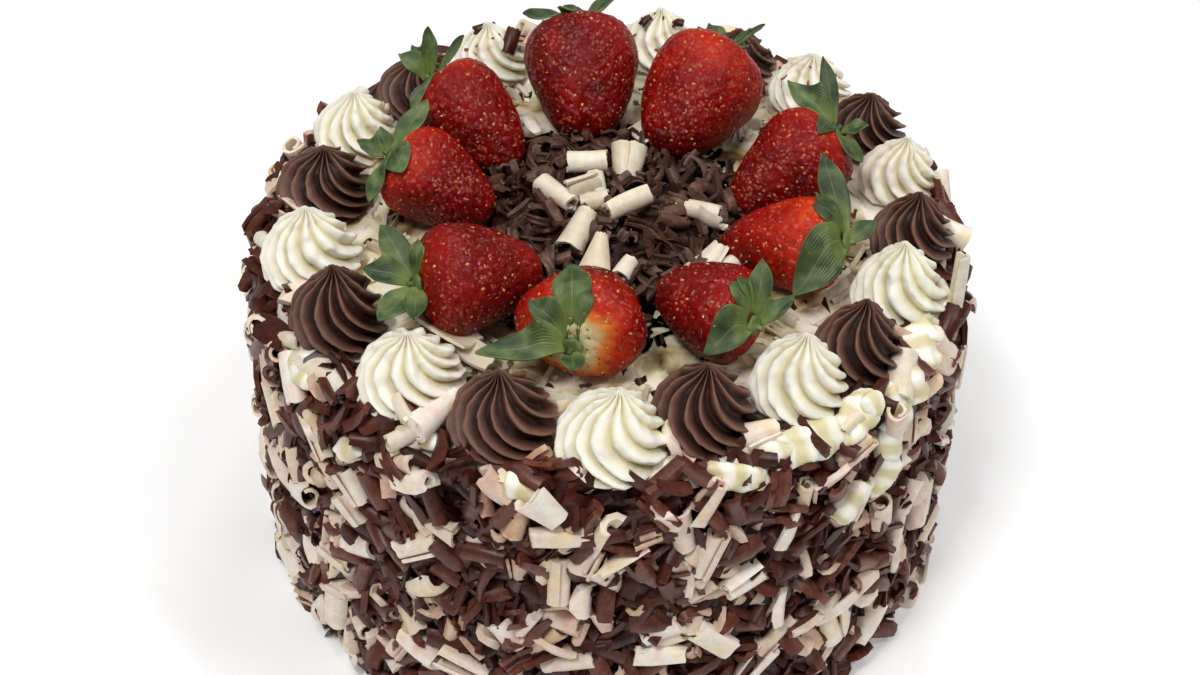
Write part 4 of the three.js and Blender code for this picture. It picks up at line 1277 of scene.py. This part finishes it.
# Seeds: one small grain set in every dimple of the berries
def makeSeedTree():
    tree, given = newTree("setSeeds", (
        "Geometry", "Material", "Length", "Width", "Depth", "Seed", "Smallest", "Largest",
        "Darkest Tone", "Lightest Tone"))
    outward, along = [addNode(tree, "GeometryNodeInputNamedAttribute", {
        "data_type": "FLOAT_VECTOR", "Name": name}) for name in ("outward", "along")]
    facing = addNode(tree, "FunctionNodeAlignRotationToVector", {"axis": "Z"}, {"Vector": outward})
    turned = addNode(tree, "FunctionNodeAlignRotationToVector", {"axis": "X", "pivot_axis": "Z"},
                     {"Rotation": facing, "Vector": along})
    grain = addNode(tree, "GeometryNodeMeshUVSphere", {"Segments": 6, "Rings": 4, "Radius": 0.5})
    size = addNode(tree, "ShaderNodeCombineXYZ", {},
                   {"X": given["Length"], "Y": given["Width"], "Z": given["Depth"]})
    varied = scaled(tree, size, randomNumber(tree, given, "Smallest", "Largest"))
    placed = addNode(tree, "GeometryNodeInstanceOnPoints", {},
                     {"Points": given["Geometry"], "Instance": grain, "Rotation": turned,
                      "Scale": varied})
    return finishTree(tree, given, placed)


def buildSeeds():
    s = berrySizes
    mesh = bpy.data.meshes.new("seedPoints")
    mesh.from_pydata([tuple(place * mm) for place, outward, along in seedPlaces], [], [])
    for label, column in (("outward", 1), ("along", 2)):
        layer = mesh.attributes.new(label, "FLOAT_VECTOR", "POINT")
        layer.data.foreach_set("vector", np.array([p[column] for p in seedPlaces], np.float32).ravel())
    values = {"Material": seedSkin, "Length": s["seedLength"] * mm, "Width": s["seedWidth"] * mm,
              "Depth": s["seedDepth"] * mm, "Seed": 11, "Smallest": 0.85, "Largest": 1.15,
              "Darkest Tone": 0.1, "Lightest Tone": 1.0}
    points = bpy.data.objects.new("seedPoints", mesh)
    addPiece(runTree(points, makeSeedTree(), values, "berrySeeds"), "strawberry")


buildSeeds()

# Floor, light and camera, with their places and sizes in metres
studio = {
    "floorSize": 6.0, "floorColour": "#F4F4F4", "floorShade": "#F2F2F2", "floorGlow": 0.2,
    "worldColour": "#FFFFFF", "worldStrength": 0.22, "backdropColour": "#AAAAAA",
    # square area lights: place, size, watts
    "lights": [((-0.25, -0.4, 1.05), 0.2, 4.9), ((0.55, -0.25, 0.9), 0.16, 2.0),
               ((0.1, 0.45, 0.95), 0.18, 1.6), ((-0.12, -0.15, 1.15), 0.1, 1.1),
               ((0.3, 0.05, 1.05), 0.09, 0.9), ((-0.45, 0.15, 0.95), 0.09, 0.8)],
    "aim": (0.0, 0.0, 0.1),
}
# focal length and frame width in pixels, the sensor in millimetres
photoCamera = {
    "place": (-0.00179, -0.37304, 0.42742), "pitch": 44.34, "roll": 0.77,
    "focal": 1755.83, "frameWidth": 1200.0, "sensor": 36.0,
}


def buildStudio():
    s = studio
    half = s["floorSize"] / 2 / mm
    # matt paint lit from within like a light table, with the slightest change of tone
    material, tree, shader, place = newMaterial("paleFloorPaint", {
        "Roughness": 0.9, "Specular IOR Level": 0.1, "Emission Color": "#FFFFFF",
        "Emission Strength": s["floorGlow"]})
    tint = addRamp(tree, [(0.3, s["floorShade"]), (0.7, s["floorColour"])],
                   addNoise(tree, place, 2.0, 2.0))
    tree.links.new(tint.outputs[0], shader.inputs["Base Color"])
    corners = [(-half, -half, 0), (half, -half, 0), (half, half, 0), (-half, half, 0)]
    linked(meshObject("floor", corners, [(0, 1, 2, 3)], [material]))
    for number, (place, size, watts) in enumerate(s["lights"]):
        lamp = bpy.data.lights.new(f"softLight{number}", "AREA")
        lamp.size = size
        lamp.energy = watts
        holder = linked(bpy.data.objects.new(f"softLight{number}", lamp))
        holder.location = place
        holder.rotation_euler = (Vector(s["aim"]) - Vector(place)).to_track_quat("-Z", "Y").to_euler()
    world = bpy.data.worlds.new("studioWorld")
    world.use_nodes = True
    tree = world.node_tree
    tree.nodes.clear()
    # the light from all round is dim, while the backdrop behind the floor shows pale
    sky = addNode(tree, "ShaderNodeBackground", {"Color": s["worldColour"], "Strength": s["worldStrength"]})
    backdrop = addNode(tree, "ShaderNodeBackground", {"Color": s["backdropColour"]})
    rays = addNode(tree, "ShaderNodeLightPath")
    both = addNode(tree, "ShaderNodeMixShader", {}, {0: rays.outputs["Is Camera Ray"], 1: sky, 2: backdrop})
    addNode(tree, "ShaderNodeOutputWorld", {}, {"Surface": both})
    bpy.context.scene.world = world
    bpy.context.scene.view_settings.view_transform = "Standard"


def buildCamera():
    c = photoCamera
    lens = bpy.data.cameras.new("photoCamera")
    lens.sensor_width = c["sensor"]
    lens.lens = c["focal"] / c["frameWidth"] * c["sensor"]
    camera = linked(bpy.data.objects.new("photoCamera", lens))
    pitch = math.radians(c["pitch"])
    turned = Matrix.Rotation(math.pi / 2 - pitch, 4, "X") @ Matrix.Rotation(math.radians(c["roll"]), 4, "Z")
    camera.matrix_world = Matrix.Translation(c["place"]) @ turned
    bpy.context.scene.camera = camera


buildStudio()
buildCamera()
print("stage: studio done")

bpy.context.view_layer.update()
